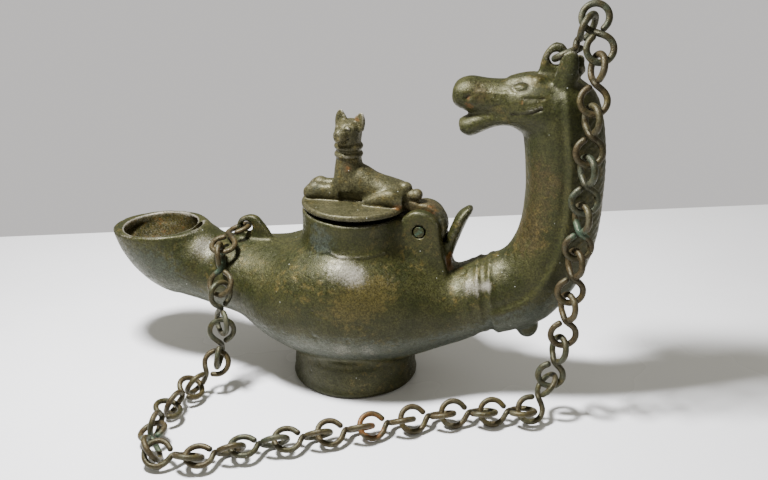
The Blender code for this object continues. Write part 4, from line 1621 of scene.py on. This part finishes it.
@dataclass
class Dog:
    """The dog that lies on the lid with its head up and its face turned to the near side.

    Attributes:
        trunk: The trunk's sections, from the chest to the rump.
        neck: Rows up the neck and head: x, z, half depth and half width.
        turn: How far its face is turned, in degrees.
        muzzle: Rows along the muzzle: reach, height, half width and half height.
        ear_base: Where an ear's base is: x, how far from the middle, and z.
        ear_tip: The same for its tip.
        ear_half: Half the ear's width and thickness.
        ear_taper: How wide the ear is at equal steps on the way up.
        head: Where its head's middle is, as (x, z).
        foreleg_sections: A foreleg's sections, from the paw back.
        hind_leg_sections: A hind leg's sections.
        tail_sections: The tail's sections.
        cords: The height and the radius of the cords round its neck.
        cord_radius: The radius of a cord itself.
        ribs: Where the ribs start along X.
    """

    trunk: tuple[Section, ...] = (
        Section((-8.0, 72.5), (-8.0, 80.4), 5.6),
        Section((-3.5, 72.5), (-4.0, 88.0), 5.6),
        Section((3.0, 72.5), (3.6, 87.6), 5.8),
        Section((9.0, 72.5), (9.4, 84.4), 6.4),
        Section((15.0, 72.5), (15.6, 82.6), 6.9),
        Section((20.0, 73.4), (19.8, 81.2), 5.6),
        Section((22.2, 75.0), (22.0, 78.4), 2.6),
    )
    neck: tuple[tuple[float, ...], ...] = (
        (-1.4, 78.0, 6.4, 6.0), (-1.5, 85.0, 5.6, 5.3), (-1.6, 89.6, 4.8, 4.6), (-1.6, 91.6, 4.7, 4.6),
        (-1.6, 94.4, 4.6, 4.6), (-1.7, 96.4, 4.8, 4.9), (-1.7, 99.2, 5.2, 5.4), (-1.4, 102.2, 4.8, 5.6),
        (-1.0, 104.0, 3.2, 3.8))
    turn: float = 70.0
    muzzle: tuple[tuple[float, ...], ...] = (
        (0.0, 99.8, 3.8, 3.6), (2.4, 99.8, 3.5, 3.5), (4.4, 99.5, 3.1, 3.3), (6.6, 99.3, 2.5, 2.8),
        (7.9, 99.2, 1.4, 1.8))
    ear_base: Point3 = (-1.2, 3.2, 100.6)
    ear_tip: Point3 = (-0.6, 4.7, 107.8)
    ear_half: Point = (3.0, 1.5)
    ear_taper: tuple[float, ...] = (1.0, 1.0, 0.97, 0.92, 0.84, 0.70, 0.50, 0.22)
    head: Point = (-1.4, 100.0)
    foreleg_sections: tuple[Section, ...] = (
        Section((-18.6, 74.6), (-18.6, 77.2), 1.2),
        Section((-17.0, 73.2), (-16.8, 79.2), 2.5),
        Section((-14.2, 73.2), (-14.0, 80.6), 2.8),
        Section((-10.6, 73.2), (-10.6, 79.9), 2.6),
        Section((-4.3, 73.1), (-4.1, 80.9), 2.7),
    )
    hind_leg_sections: tuple[Section, ...] = (
        Section((5.0, 73.2), (5.0, 75.6), 1.4),
        Section((8.0, 73.0), (8.0, 77.4), 2.2),
        Section((12.5, 73.0), (12.0, 79.6), 2.6),
        Section((17.0, 73.0), (16.6, 80.4), 2.8),
        Section((20.4, 73.6), (20.2, 78.0), 1.8),
    )
    tail_sections: tuple[Section, ...] = (
        Section((18.0, 75.6), (18.4, 78.6), 1.6),
        Section((21.6, 75.5), (22.0, 79.1), 1.9),
        Section((25.0, 75.7), (25.2, 79.3), 2.1),
        Section((26.9, 76.6), (26.9, 78.6), 1.0),
    )
    cords: tuple[Point, ...] = ((91.3, 4.4), (94.4, 4.45))
    cord_radius: float = 1.05
    ribs: tuple[float, ...] = (1.0, 4.0, 7.0)

    def forward(self) -> Array:
        """The way the face looks."""
        return np.array([-math.cos(math.radians(self.turn)), -math.sin(math.radians(self.turn)), 0])

    def across(self) -> Array:
        """The way from its one cheek to the other."""
        ahead = self.forward()
        return np.array([-ahead[1], ahead[0], 0])

    def snout(self) -> Piece:
        """The muzzle.

        Returns:
            The closed solid.
        """
        a = circle(28)
        rings = []
        for step in range(4 * (len(self.muzzle) - 1) + 1):
            reach, z, half_width, half_height = spline(self.muzzle, step / 4)
            middle = np.array([self.head[0], 0, z]) + self.forward() * reach
            rings.append(middle + self.across() * (half_width * np.cos(a))[:, None]
                         + np.array([0, 0, 1]) * (half_height * np.sin(a))[:, None])
        return solid_of_rings("muzzle", rings)

    def ear(self, side: int) -> Piece:
        """One pricked ear, hollow in front.

        Args:
            side: -1 or 1 for the side of the face.

        Returns:
            The closed solid.
        """
        a = circle(24)
        across, ahead = -self.across() * side, self.forward()
        base, tip = (np.array([x, 0, z]) + across * off for x, off, z in (self.ear_base, self.ear_tip))
        (half_width, half_thick), steps = self.ear_half, len(self.ear_taper)
        rings = []
        for part, swell in zip(np.linspace(0, 0.97, steps), self.ear_taper):
            middle = base + (tip - base) * part
            dish = 0.7 * swell * bump(np.cos(a), 0.75) * (np.sin(a) > 0)
            rings.append(middle + across * (half_width * swell * np.cos(a))[:, None]
                         + ahead * (half_thick * swell * np.sin(a) - dish)[:, None])
        return solid_of_rings("dog_ear", rings)

    def legs(self, side: int) -> list[Piece]:
        """The foreleg stretched forward along the lid, and the hind leg folded against the flank."""
        return [Loft(self.foreleg_sections, around=32, shift=side * 3.1).build("foreleg"),
                Loft(self.hind_leg_sections, around=32, shift=side * 6.0).build("hind_leg")]

    def tail(self) -> list[Piece]:
        """The tail's end, which overhangs the hinge, and the curl above it.

        Returns:
            Closed solids that overlap.
        """
        return [Loft(self.tail_sections, around=32, shift=-1.6).build("tail"),
                egg("curl", (20.6, -1.0, 80.4), (2.4, 2.2, 1.7), tilt=20.0),
                egg("tail_tip", (24.8, -1.6, 77.7), (2.3, 2.4, 2.2))]

    def rings(self) -> list[Piece]:
        """The two cords round its neck.

        Returns:
            Two closed rings.
        """
        cords = []
        for height, radius in self.cords:
            bpy.ops.object.select_all(action="DESELECT")
            bpy.ops.mesh.primitive_torus_add(major_radius=radius * MM, minor_radius=self.cord_radius * MM,
                                             major_segments=64, minor_segments=16,
                                             location=(-1.6 * MM, 0, height * MM))
            cords.append(bpy.context.active_object)
            bpy.ops.object.transform_apply(location=True, rotation=True, scale=True)
        return cords

    def build(self) -> list[Piece]:
        """Every lump of the dog.

        Returns:
            Closed solids that overlap.
        """
        parts = [Loft(self.trunk).build("trunk"), stack("neck", self.neck), self.snout()]
        parts += self.tail() + self.rings()
        for side in (-1, 1):
            parts += [*self.legs(side), self.ear(side)]
        return parts

    def relief(self, points: Array) -> Array:
        """The carving of the face, the paws and the flank, in millimetres out from the skin.

        Args:
            points: Places, one row each.

        Returns:
            One height for each point.
        """
        head = np.array([self.head[0], 0, self.head[1]])

        def on_face(reach: float, off: float, lift: float) -> Array:
            """A place on the face: how far ahead, how far off its middle, and how high."""
            return head + self.forward() * reach + self.across() * off + np.array([0, 0, lift])

        total = np.zeros(len(points))
        strokes = [Stroke((on_face(7.6, 0.0, -2.0), on_face(4.5, 2.9, -1.8)), 0.6, 0.4)]
        for side in (-1, 1):
            gap = np.linalg.norm(points - on_face(4.2, side * 2.6, 2.0), axis=1)
            total += 0.15 * bump(gap, 1.0) - 0.22 * bump(gap - 1.2, 0.6)
            total -= 0.25 * near(points, on_face(7.9, side * 0.8, -0.3), 0.6)
            for lift in (-1.2, 0.1, 1.4):
                wrinkle = (on_face(6.9, side * 0.9, lift), on_face(4.6, side * 2.9, lift + 0.3))
                strokes.append(Stroke(wrinkle, 0.45, 0.22))
            paw = self.foreleg_sections[0].low[0]
            strokes += [Stroke(((paw, y, 75.0), (paw + 2.4, y, 79.2)), 0.5, 0.35)
                        for y in (side * 3.1 + toe for toe in (-1.3, 0.0, 1.3))]
            strokes.append(Stroke(((3.0, side * 6.0, 77.0), (9.0, side * 7.4, 79.2), (15.5, side * 7.6, 81.6),
                                   (20.0, side * 6.2, 80.0)), 0.9, 0.4))
            strokes += [Stroke(((rib, side * 5.6, 84.0), (rib + 1.4, side * 6.4, 79.4)), 0.8, 0.16)
                        for rib in self.ribs]
        return total - carved(points, strokes)


@dataclass
class Lid:
    """The lid's disc and knuckle, with the dog cast on it.

    Attributes:
        radius: The disc's radius.
        underside: The height of its underside.
        centre: The disc's middle along X.
        half_width: Half the knuckle's width.
        hinge: The hinge that it swings on.
        dog: The dog.
        rim: The disc's profile: how far in from the rim, and how far above the underside.
        neck: The outline of the knuckle's neck before and after its round, as (x, z).
        blots: The patina's round stains by name.
        voxel: The remesh's voxel.
        fillets: How wide and how full the inner corners are filled.
        triangles: How many triangles the finished piece may have.
    """

    radius: float = 20.6
    underside: float = 71.7
    centre: float = 0.9
    half_width: float = 3.7
    hinge: Hinge = field(default_factory=Hinge)
    dog: Dog = field(default_factory=Dog)
    rim: tuple[Point, ...] = (
        (0.9, 0.0), (0.3, 0.2), (0.0, 0.9), (0.15, 1.6), (0.7, 2.2), (1.2, 2.3), (1.8, 2.05), (2.4, 1.9),
        (3.2, 1.9), (9.0, 2.1))
    neck: tuple[tuple[Point, ...], ...] = (
        ((15.0, 72.2), (15.2, 73.6), (17.0, 75.2), (19.0, 76.2)), ((22.6, 71.1), (21.9, 72.1)))
    blots: dict[str, tuple[Blot, ...]] = field(default_factory=lambda: {
        "warm": (Blot(0.40, (14.0, -8.0, 79.0), 11.0), Blot(0.30, (-3.0, -3.0, 105.0), 5.0)),
        "brown": (Blot(0.85, (-0.9, -5.2, 87.4), 3.6), Blot(0.80, (26.0, 0.0, 72.0), 13.0)),
        "rust": (Blot(0.45, (30.0, -3.0, 72.0), 6.0), Blot(0.50, (2.6, -1.0, 105.6), 3.4),
                 Blot(0.45, (-0.9, -5.2, 87.0), 3.0), Blot(0.50, (19.0, -8.0, 74.5), 4.0),
                 Blot(0.35, (24.0, -1.6, 75.0), 4.0)),
        "cool": (Blot(0.35, (-14.0, -4.0, 79.0), 8.0),),
        "green": (Blot(0.30, (-4.0, -5.0, 98.0), 5.0),),
    })
    voxel: float = 0.32
    fillets: tuple[int, float] = (14, 0.7)
    triangles: int = 120000

    def disc(self) -> Piece:
        """The disc, with a thin raised line round its rim."""
        profile = [(self.radius - inward, self.underside + up) for inward, up in self.rim]
        return turned("disc", profile, (self.centre, 0.0), 200)

    def knuckle(self) -> Piece:
        """The knuckle, round about the pin, and the neck that joins it to the disc.

        Returns:
            The closed solid.
        """
        pin, (before, after) = self.hinge.pin, self.neck
        outline = [*before, *arc(pin, self.hinge.knuckle_radius - 0.2, 96.0, -60.0, 30),
                   *arc(pin, 4.7, 250.0, 165.0, 12), *after]
        return plate("knuckle", outline, self.half_width, 1.0)

    def stains(self, piece: Piece) -> dict[str, Array]:
        """The patina's stains on the lid and the dog, with a painted reflection of the floor under the disc.

        Args:
            piece: The lid.

        Returns:
            Each stain's strength at every point, by name.
        """
        points = points_of(piece)
        fine, wide = hollows_of(piece, 4, 0.14), hollows_of(piece, 18, 0.7)
        stains = {name: blotted(points, blots) for name, blots in self.blots.items()}
        stains["hollow"] = np.maximum(fine, 0) * 0.8 + np.maximum(wide, 0) * 0.8
        stains["edge"] = np.maximum(-fine, 0) * 0.55 + np.maximum(-wide, 0) * 0.5
        # painted reflection of the pale floor: grey-blue under the disc, partly a real patina tint
        stains["cool"] += 0.35 * ease(-points[:, 2], -72.6, -71.9)
        return stains

    def build(self, material: bpy.types.Material) -> Piece:
        """Cast the lid and dress it.

        Args:
            material: Its finish.

        Returns:
            The finished lid.
        """
        lid = fuse("lid_with_dog", [self.disc(), self.knuckle()] + self.dog.build(), self.voxel)
        bore = rod("knuckle_bore", self.hinge.pin, self.hinge.pin_radius + 0.3, 8.0, 64)
        boolean(lid, bore, Cut.TAKE)
        apply_modifier(lid, "REMESH", mode="VOXEL", voxel_size=self.voxel * MM)
        fillet(lid, *self.fillets)
        apply_modifier(lid, "SMOOTH", factor=0.5, iterations=2)
        carve(lid, lambda points: self.dog.relief(points) + 0.10 * layered_noise(points, 6.0, 41)
              + 0.05 * layered_noise(points, 1.6, 47) - 0.12 * ease(lattice_noise(points, 1.1, 53), 0.5, 0.9))
        paint(lid, self.stains(lid))
        thin_out(lid, self.triangles)
        finish_casting(lid, "lid", ["lid"], material)
        return lid


# The chain


@dataclass
class Chain:
    """The chain of S-shaped wire links, each a wire bent into two closed loops that stand across each other.

    Attributes:
        wire: The wire's radius in the part that hangs from the head, and in the rest.
        loop: A loop's radius.
        spacing: How far apart a link's two loop centres are.
        leaves: Where a loop's wire leaves for the waist, in degrees from the loop's far side.
        free_end: How far the wire's free end goes on from there on the other side.
        verdigris: The green patches.
        orange: An orange patch.
        top: The first links: the centre and normal of the first loop, then of the second one.
        last: The link in the spout's lug.
        route: The chain's path: x, y, z, then the distance from link to link, and the links' roll and twist.
        route_steps: Steps from one row of the route to the next.
        towards_view: The side that the links face before they are rolled.
        solid_radius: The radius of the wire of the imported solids, at their facets' middles.
        solid_swell: How much farther out their corners lie.
        solid_gap: How far apart the middle lines of those wires lie at least.
        settling: How many times the links are moved apart.
        loop_steps: How many points a loop of the finished wire has.
        solid_steps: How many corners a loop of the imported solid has.
        waist_steps: How many points each half of the waist has.
        end_steps: How many points a free end has.
        around: Points round the wire.
    """

    wire: Point = (1.15, 1.04)
    loop: float = 4.5
    spacing: float = 11.0
    leaves: float = 144.0
    free_end: float = 1.75
    verdigris: tuple[Blot, ...] = (Blot(0.8, (-48.0, -19.0, 50.0), 8.0), Blot(0.8, (85.0, -16.4, 75.0), 8.0),
                                   Blot(0.8, (-54.0, -73.6, 5.0), 9.0))
    orange: Blot = Blot(0.85, (17.5, -47.5, 4.9), 9.0)
    top: tuple[tuple[Point3, ...], ...] = (
        ((75.8, 0.0, 132.1), (-0.43, 0.22, 0.88), (82.0, -1.8, 141.6), (0.9, -0.4, -0.3)),
        ((84.2, -2.6, 145.0), (0.0, -0.95, 0.2), (86.6, -7.6, 135.6), (0.2, -0.93, 0.27)),
    )
    last: tuple[Point3, ...] = (
        (-49.0, -12.2, 54.9), (0.0, -0.3, 0.9), (-47.0, -0.75, 57.2), (-0.35, 0.0, 0.95))
    route: tuple[tuple[float, ...], ...] = (
        (86.5, -8.5, 134.2, 17.5, 0.0, 75.0), (86.0, -14.5, 118.0, 17.5, 0.0, 70.0),
        (86.0, -16.5, 100.0, 17.5, 0.0, 70.0), (85.5, -16.5, 75.0, 17.5, 0.0, 70.0),
        (83.0, -16.5, 45.0, 17.5, 0.0, 65.0), (81.0, -17.0, 25.0, 17.5, 0.0, 65.0),
        (77.5, -18.5, 12.0, 14.0, 0.0, 65.0), (73.5, -25.0, 5.5, 13.0, 0.0, 75.0),
        (60.0, -28.5, 5.0, 15.3, 0.0, 80.0), (43.0, -33.5, 5.0, 15.3, 5.0, 80.0),
        (15.0, -49.0, 5.0, 15.3, 20.0, 75.0), (-19.0, -67.5, 5.0, 15.3, 50.0, 60.0),
        (-31.5, -74.5, 5.0, 15.3, 50.0, 60.0), (-43.0, -82.0, 5.0, 15.0, 20.0, 70.0),
        (-54.5, -77.0, 5.5, 15.0, 0.0, 75.0), (-57.5, -58.0, 5.0, 15.3, 0.0, 75.0),
        (-55.5, -40.0, 5.5, 15.0, 0.0, 75.0), (-49.5, -30.5, 8.5, 14.5, 0.0, 75.0),
        (-45.5, -28.5, 20.0, 14.5, 10.0, 75.0), (-45.5, -26.5, 40.0, 14.5, 60.0, 75.0),
        (-48.5, -17.0, 54.3, 15.5, 105.0, 75.0),
    )
    route_steps: int = 20
    towards_view: Point3 = (0.2, -0.84, 0.5)
    solid_radius: float = 1.15
    solid_swell: float = 1.04
    solid_gap: float = 2.55
    settling: int = 80
    loop_steps: int = 34
    solid_steps: int = 7
    waist_steps: int = 7
    end_steps: int = 5
    around: int = 16

    def joints(self) -> list[tuple[Vector, float, float]]:
        """Where one link meets the next, with the roll and the twist there.

        Returns:
            The place, the roll and the twist, in radians.
        """
        count = self.route_steps * (len(self.route) - 1)
        walk = np.array([spline(self.route, i / self.route_steps) for i in range(count + 1)])
        steps = np.linalg.norm(np.diff(walk[:, :3], axis=0), axis=1) / walk[1:, 3]
        links = np.concatenate([[0.0], np.cumsum(steps)])
        where = np.linspace(0.0, links[-1], round(links[-1]) + 1)
        columns = [np.interp(where, links, walk[:, k]) for k in range(6)]
        return [(Vector(row[:3]), math.radians(row[4]), math.radians(row[5])) for row in zip(*columns)]

    def frames(self) -> list[tuple[Vector, ...]]:
        """The loop centres and normals of every link, from the horse's head to the spout.

        Returns:
            For each link its first centre and normal, and its second.
        """
        frames = [tuple(Vector(value) for value in link) for link in self.top]
        view, joints = Vector(self.towards_view), self.joints()
        for (start, roll, twist), (end, next_roll, next_twist) in zip(joints, joints[1:]):
            middle, axis = (start + end) / 2, (end - start).normalized()
            facing = (view - axis * view.dot(axis)).normalized()
            second = Matrix.Rotation((roll + next_roll) / 2, 3, axis) @ facing
            first = Matrix.Rotation((twist + next_twist) / 2, 3, axis) @ second
            reach = axis * self.spacing / 2
            frames.append((middle - reach, first, middle + reach, second))
        frames.append(tuple(Vector(value) for value in self.last))
        return [(first, face.normalized(), second, other.normalized())
                for first, face, second, other in frames]

    def loop_points(self, centre: Vector, outward: Vector, normal: Vector, radius: float,
                    count: int) -> Array:
        """A loop's wire from its free side, round its far end, to where it leaves for the waist.

        Args:
            centre: The loop's middle.
            outward: The way to its far end.
            normal: The way that its face looks.
            radius: Its radius.
            count: How many points it has.

        Returns:
            The points, one row each.
        """
        along = (outward - normal * outward.dot(normal)).normalized()
        across = normal.cross(along)
        turn = np.radians(np.linspace(-self.leaves, self.leaves, count))[:, None]
        return np.array(centre) + radius * (np.cos(turn) * np.array(along) + np.sin(turn) * np.array(across))

    def coarse_line(self, ends: tuple[Vector, ...]) -> Array:
        """The middle line of a link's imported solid, in short steps.

        Args:
            ends: The link's loop centres and normals.

        Returns:
            The points, one row each.
        """
        first, first_normal, second, second_normal = ends
        axis = (second - first).normalized()
        radius = self.loop * self.solid_swell
        corners = np.vstack([self.loop_points(first, -axis, first_normal, radius, self.solid_steps),
                             np.array((first + second) / 2)[None],
                             self.loop_points(second, axis, second_normal, radius, self.solid_steps)[::-1]])
        steps = np.arange(0, len(corners) - 0.75, 0.25)
        return np.stack([np.interp(steps, range(len(corners)), corners[:, k]) for k in range(3)], axis=1)

    def moves(self, frames: Sequence[tuple[Vector, ...]]) -> Array:
        """How far each link is moved so that none touches the next ones or sinks into the table.

        Args:
            frames: The loop centres and normals of every link.

        Returns:
            One way for each link, in millimetres.
        """
        places = [self.coarse_line(ends) for ends in frames]
        last = len(places) - 1
        moves = np.zeros((last + 1, 3))
        for _ in range(self.settling):
            for i in range(1, last):
                lift = self.solid_radius * self.solid_swell - places[i][:, 2].min() - moves[i][2]
                moves[i][2] += max(lift, 0.0)
            for i, j in [(i, i + step) for i in range(last + 1) for step in (1, 2) if i + step <= last]:
                apart = (places[j] + moves[j])[None, :, :] - (places[i] + moves[i])[:, None, :]
                gaps = np.linalg.norm(apart, axis=2)
                nearest = np.unravel_index(gaps.argmin(), gaps.shape)
                push = apart[nearest] / gaps[nearest] * max(self.solid_gap - gaps[nearest], 0.0) / 2
                moves[i] -= push if i > 0 else 0.0
                moves[j] += push if j < last else 0.0
        return moves

    def line(self, ends: tuple[Vector, ...]) -> Array:
        """The middle line of one link: a free end, both loops and the waist between them, and a free end.

        Args:
            ends: The link's loop centres and normals.

        Returns:
            The points, one row each.
        """
        first, first_normal, second, second_normal = ends
        axis = (second - first).normalized()
        start = self.loop_points(first, -axis, first_normal, self.loop, self.loop_steps)
        end = self.loop_points(second, axis, second_normal, self.loop, self.loop_steps)[::-1]
        middle = np.array((first + second) / 2)
        run = unit(end[0] - start[-1])
        waist = [bend(start[-1], unit(start[-1] - start[-2]), middle, run, self.waist_steps),
                 middle[None], bend(middle, run, end[0], unit(end[1] - end[0]), self.waist_steps)]
        reach = np.linspace(self.free_end, 0, self.end_steps + 1)[:-1, None]
        head = start[0] + reach * unit(start[0] - start[1])
        tail = end[-1] + reach[::-1] * unit(end[-1] - end[-2])
        return np.vstack([head, start, *waist, end, tail])

    def link(self, number: int, line: Array, material: bpy.types.Material) -> Piece:
        """One link: uneven hammered wire with rounded ends.

        Args:
            number: Its place in the chain, from 1.
            line: Its middle line.
            material: Its finish.

        Returns:
            The link.
        """
        run = np.concatenate([[0.0], np.cumsum(np.linalg.norm(np.diff(line, axis=0), axis=1))])
        hangs = ease(line[:, :1].mean(0), 60.0, 76.0) * ease(line[:, 2:].mean(0), 8.0, 18.0)
        wire = self.wire[1] + (self.wire[0] - self.wire[1]) * float(hangs[0])
        radii = wire * (1 + 0.06 * layered_noise(np.c_[run, 0 * run, 0 * run + 9.0 * number], 3.5, number))
        from_end = np.clip(np.minimum(run, run[-1] - run) / wire + 0.08, 0, 1)
        link = tube(f"link_{number:02d}", line, radii * np.sqrt(1 - (1 - from_end) ** 2), self.around)
        carve(link, lambda points: 0.05 * layered_noise(points, 1.4, 61 + number))
        points = points_of(link)
        tone = float(lattice_noise(np.array([[number * 7.3, 1.7, 0.4]]), 3.0, 5)[0])
        patches = layered_noise(points, 3.6, 80 + number)
        inner = ease(np.linalg.norm(points - line[len(line) // 2], axis=1), 5.0, 1.5)
        grime = layered_noise(points, 2.2, 140 + number)
        paint(link, {
            "green": blotted(points, self.verdigris) + 0.12 * patches,
            "rust": blotted(points, [self.orange]) - 0.15 * grime,
            "brown": 0.42 + 0.30 * tone + 0.45 * patches, "warm": 0.25 - 0.4 * patches,
            "cool": 0.22 - 0.35 * tone + 0.35 * grime, "hollow": 0.55 * inner + 0.25 * grime,
            "edge": 0.10 + 0.5 * ease(grime, 0.0, 0.6)})
        finish_casting(link, "lamp", [f"chain_link_{number:02d}"], material)
        return link

    def build(self, material: bpy.types.Material) -> list[Piece]:
        """Every link.

        Args:
            material: Their finish.

        Returns:
            The finished links.
        """
        frames = self.frames()
        lines = [self.line(ends) + move for ends, move in zip(frames, self.moves(frames))]
        return [self.link(number, line, material) for number, line in enumerate(lines, start=1)]


# The room


@dataclass(frozen=True)
class StudioLight:
    """A soft studio light.

    Attributes:
        name: The light's name.
        place: Where it stands, in metres.
        power: Its power in watts.
        size: The side of its square face in metres.
        colour: Its colour.
        slow: Whether it falls off slowly with distance, as the light of a lamp farther away does.
    """

    name: str
    place: Point3
    power: float
    size: float
    colour: Point3
    slow: bool = False

    def build(self) -> None:
        """Hang the light, facing the lamp."""
        data = bpy.data.lights.new(self.name, "AREA")
        data.energy = self.power
        data.size = self.size
        data.color = self.colour
        if self.slow:
            data.use_nodes = True
            falloff = data.node_tree.nodes.new("ShaderNodeLightFalloff")
            falloff.inputs["Strength"].default_value = 1.0
            emission = data.node_tree.nodes["Emission"]
            data.node_tree.links.new(falloff.outputs["Linear"], emission.inputs["Strength"])
        light = bpy.data.objects.new(self.name, data)
        light.location = self.place
        light.rotation_euler = (Vector((0, 0, 0.05)) - Vector(self.place)).to_track_quat("-Z", "Y").to_euler()
        bpy.context.scene.collection.objects.link(light)


@dataclass
class Studio:
    """The pale floor, the lights and the camera.

    Attributes:
        eye: Where the camera stands, in millimetres.
        turn: How far it is turned to the left, in degrees.
        tilt: How far it looks down, in degrees.
        focal: Its focal length in pixels of the image.
        width: The image's width in pixels.
        sensor: The width of the camera's sensor.
        floor_back: Two points of the floor's back edge, in millimetres.
        floor_reach: How far the floor reaches to the other sides.
        backdrop: The colour that shows behind the floor.
        ambient: The colour of the light from all sides.
        lights: The lights.
    """

    eye: Point3 = (87.645, -328.119, 197.060)
    turn: float = 13.0
    tilt: float = 22.5
    focal: float = 950.0
    width: float = 768.0
    sensor: float = 36.0
    floor_back: tuple[Point, Point] = ((-224.7, 92.4), (48.8, 190.0))
    floor_reach: float = 900.0
    backdrop: Point3 = (0.70, 0.68, 0.67)
    ambient: Point3 = (0.46, 0.445, 0.385)
    lights: tuple[StudioLight, ...] = (
        StudioLight("key", (-0.085, -0.075, 0.30), 15.0, 0.045, (0.98, 0.98, 1.0), True),
        StudioLight("fill", (0.65, -0.70, 0.60), 0.4, 0.8, (1.0, 0.97, 0.92)),
        StudioLight("back", (-0.35, 0.60, 0.85), 0.3, 0.5, (1.0, 0.98, 0.96)),
    )

    def camera(self) -> None:
        """Set the camera where the photograph was taken."""
        turn, tilt = math.radians(self.turn), math.radians(self.tilt)
        view = Vector((-math.sin(turn) * math.cos(tilt), math.cos(turn) * math.cos(tilt), -math.sin(tilt)))
        data = bpy.data.cameras.new("camera")
        data.sensor_width = self.sensor
        data.lens = self.sensor * self.focal / self.width
        data.clip_start = 0.01
        camera = bpy.data.objects.new("camera", data)
        camera.location = Vector(self.eye) * MM
        camera.rotation_euler = view.to_track_quat("-Z", "Y").to_euler()
        bpy.context.scene.collection.objects.link(camera)
        bpy.context.scene.camera = camera

    def floor(self) -> None:
        """Lay the floor, with its back edge where the photograph's table ends."""
        ((x1, y1), (x2, y2)), reach = self.floor_back, self.floor_reach
        slope = (y2 - y1) / (x2 - x1)
        left, right = y1 + slope * (-reach - x1), y1 + slope * (reach - x1)
        corners = ((-reach, -reach, 0), (reach, -reach, 0), (reach, right, 0), (-reach, left, 0))
        mesh = bpy.data.meshes.new("floor")
        mesh.from_pydata([tuple(value * MM for value in corner) for corner in corners], [], [(0, 1, 2, 3)])
        mesh.materials.append(PaleFloor().build())
        floor = bpy.data.objects.new("floor", mesh)
        bpy.context.scene.collection.objects.link(floor)

    def world(self) -> None:
        """Light the room softly from all sides, in front of a paler backdrop."""
        world = bpy.data.worlds.new("room")
        world.use_nodes = True
        tree = world.node_tree
        seen = tree.nodes.new("ShaderNodeLightPath").outputs["Is Camera Ray"]
        mix = tree.nodes.new("ShaderNodeMix")
        mix.data_type = "RGBA"
        colours = [socket for socket in mix.inputs if socket.type == "RGBA"]
        colours[0].default_value = (*self.ambient, 1.0)
        colours[1].default_value = (*self.backdrop, 1.0)
        tree.links.new(seen, mix.inputs["Factor"])
        result = next(socket for socket in mix.outputs if socket.type == "RGBA")
        tree.links.new(result, tree.nodes["Background"].inputs["Color"])
        bpy.context.scene.world = world

    def build(self) -> None:
        """Set up the camera, the floor and the light."""
        self.camera()
        self.floor()
        self.world()
        for light in self.lights:
            light.build()


def main() -> None:
    """Build the lamp piece by piece and set it in its studio."""
    logging.basicConfig(level=logging.INFO, format="%(message)s")
    Studio().build()
    LampBody().build(Patina("body_patina").build())
    Lid().build(Patina("lid_patina", ground=(0.024, 0.023, 0.010), second=(0.040, 0.036, 0.017)).build())
    Hinge().pin_piece(Patina("pin_patina", relief=0.6).build())
    Chain().build(Patina("chain_patina", ground=(0.016, 0.016, 0.007), second=(0.028, 0.023, 0.011),
                         brown=(0.038, 0.023, 0.012), cool=(0.028, 0.042, 0.034), pale_wear_and_highlight=(0.055, 0.050, 0.030),
                         roughness=0.40, fine=0.3).build())


if __name__ == "__main__":
    main()
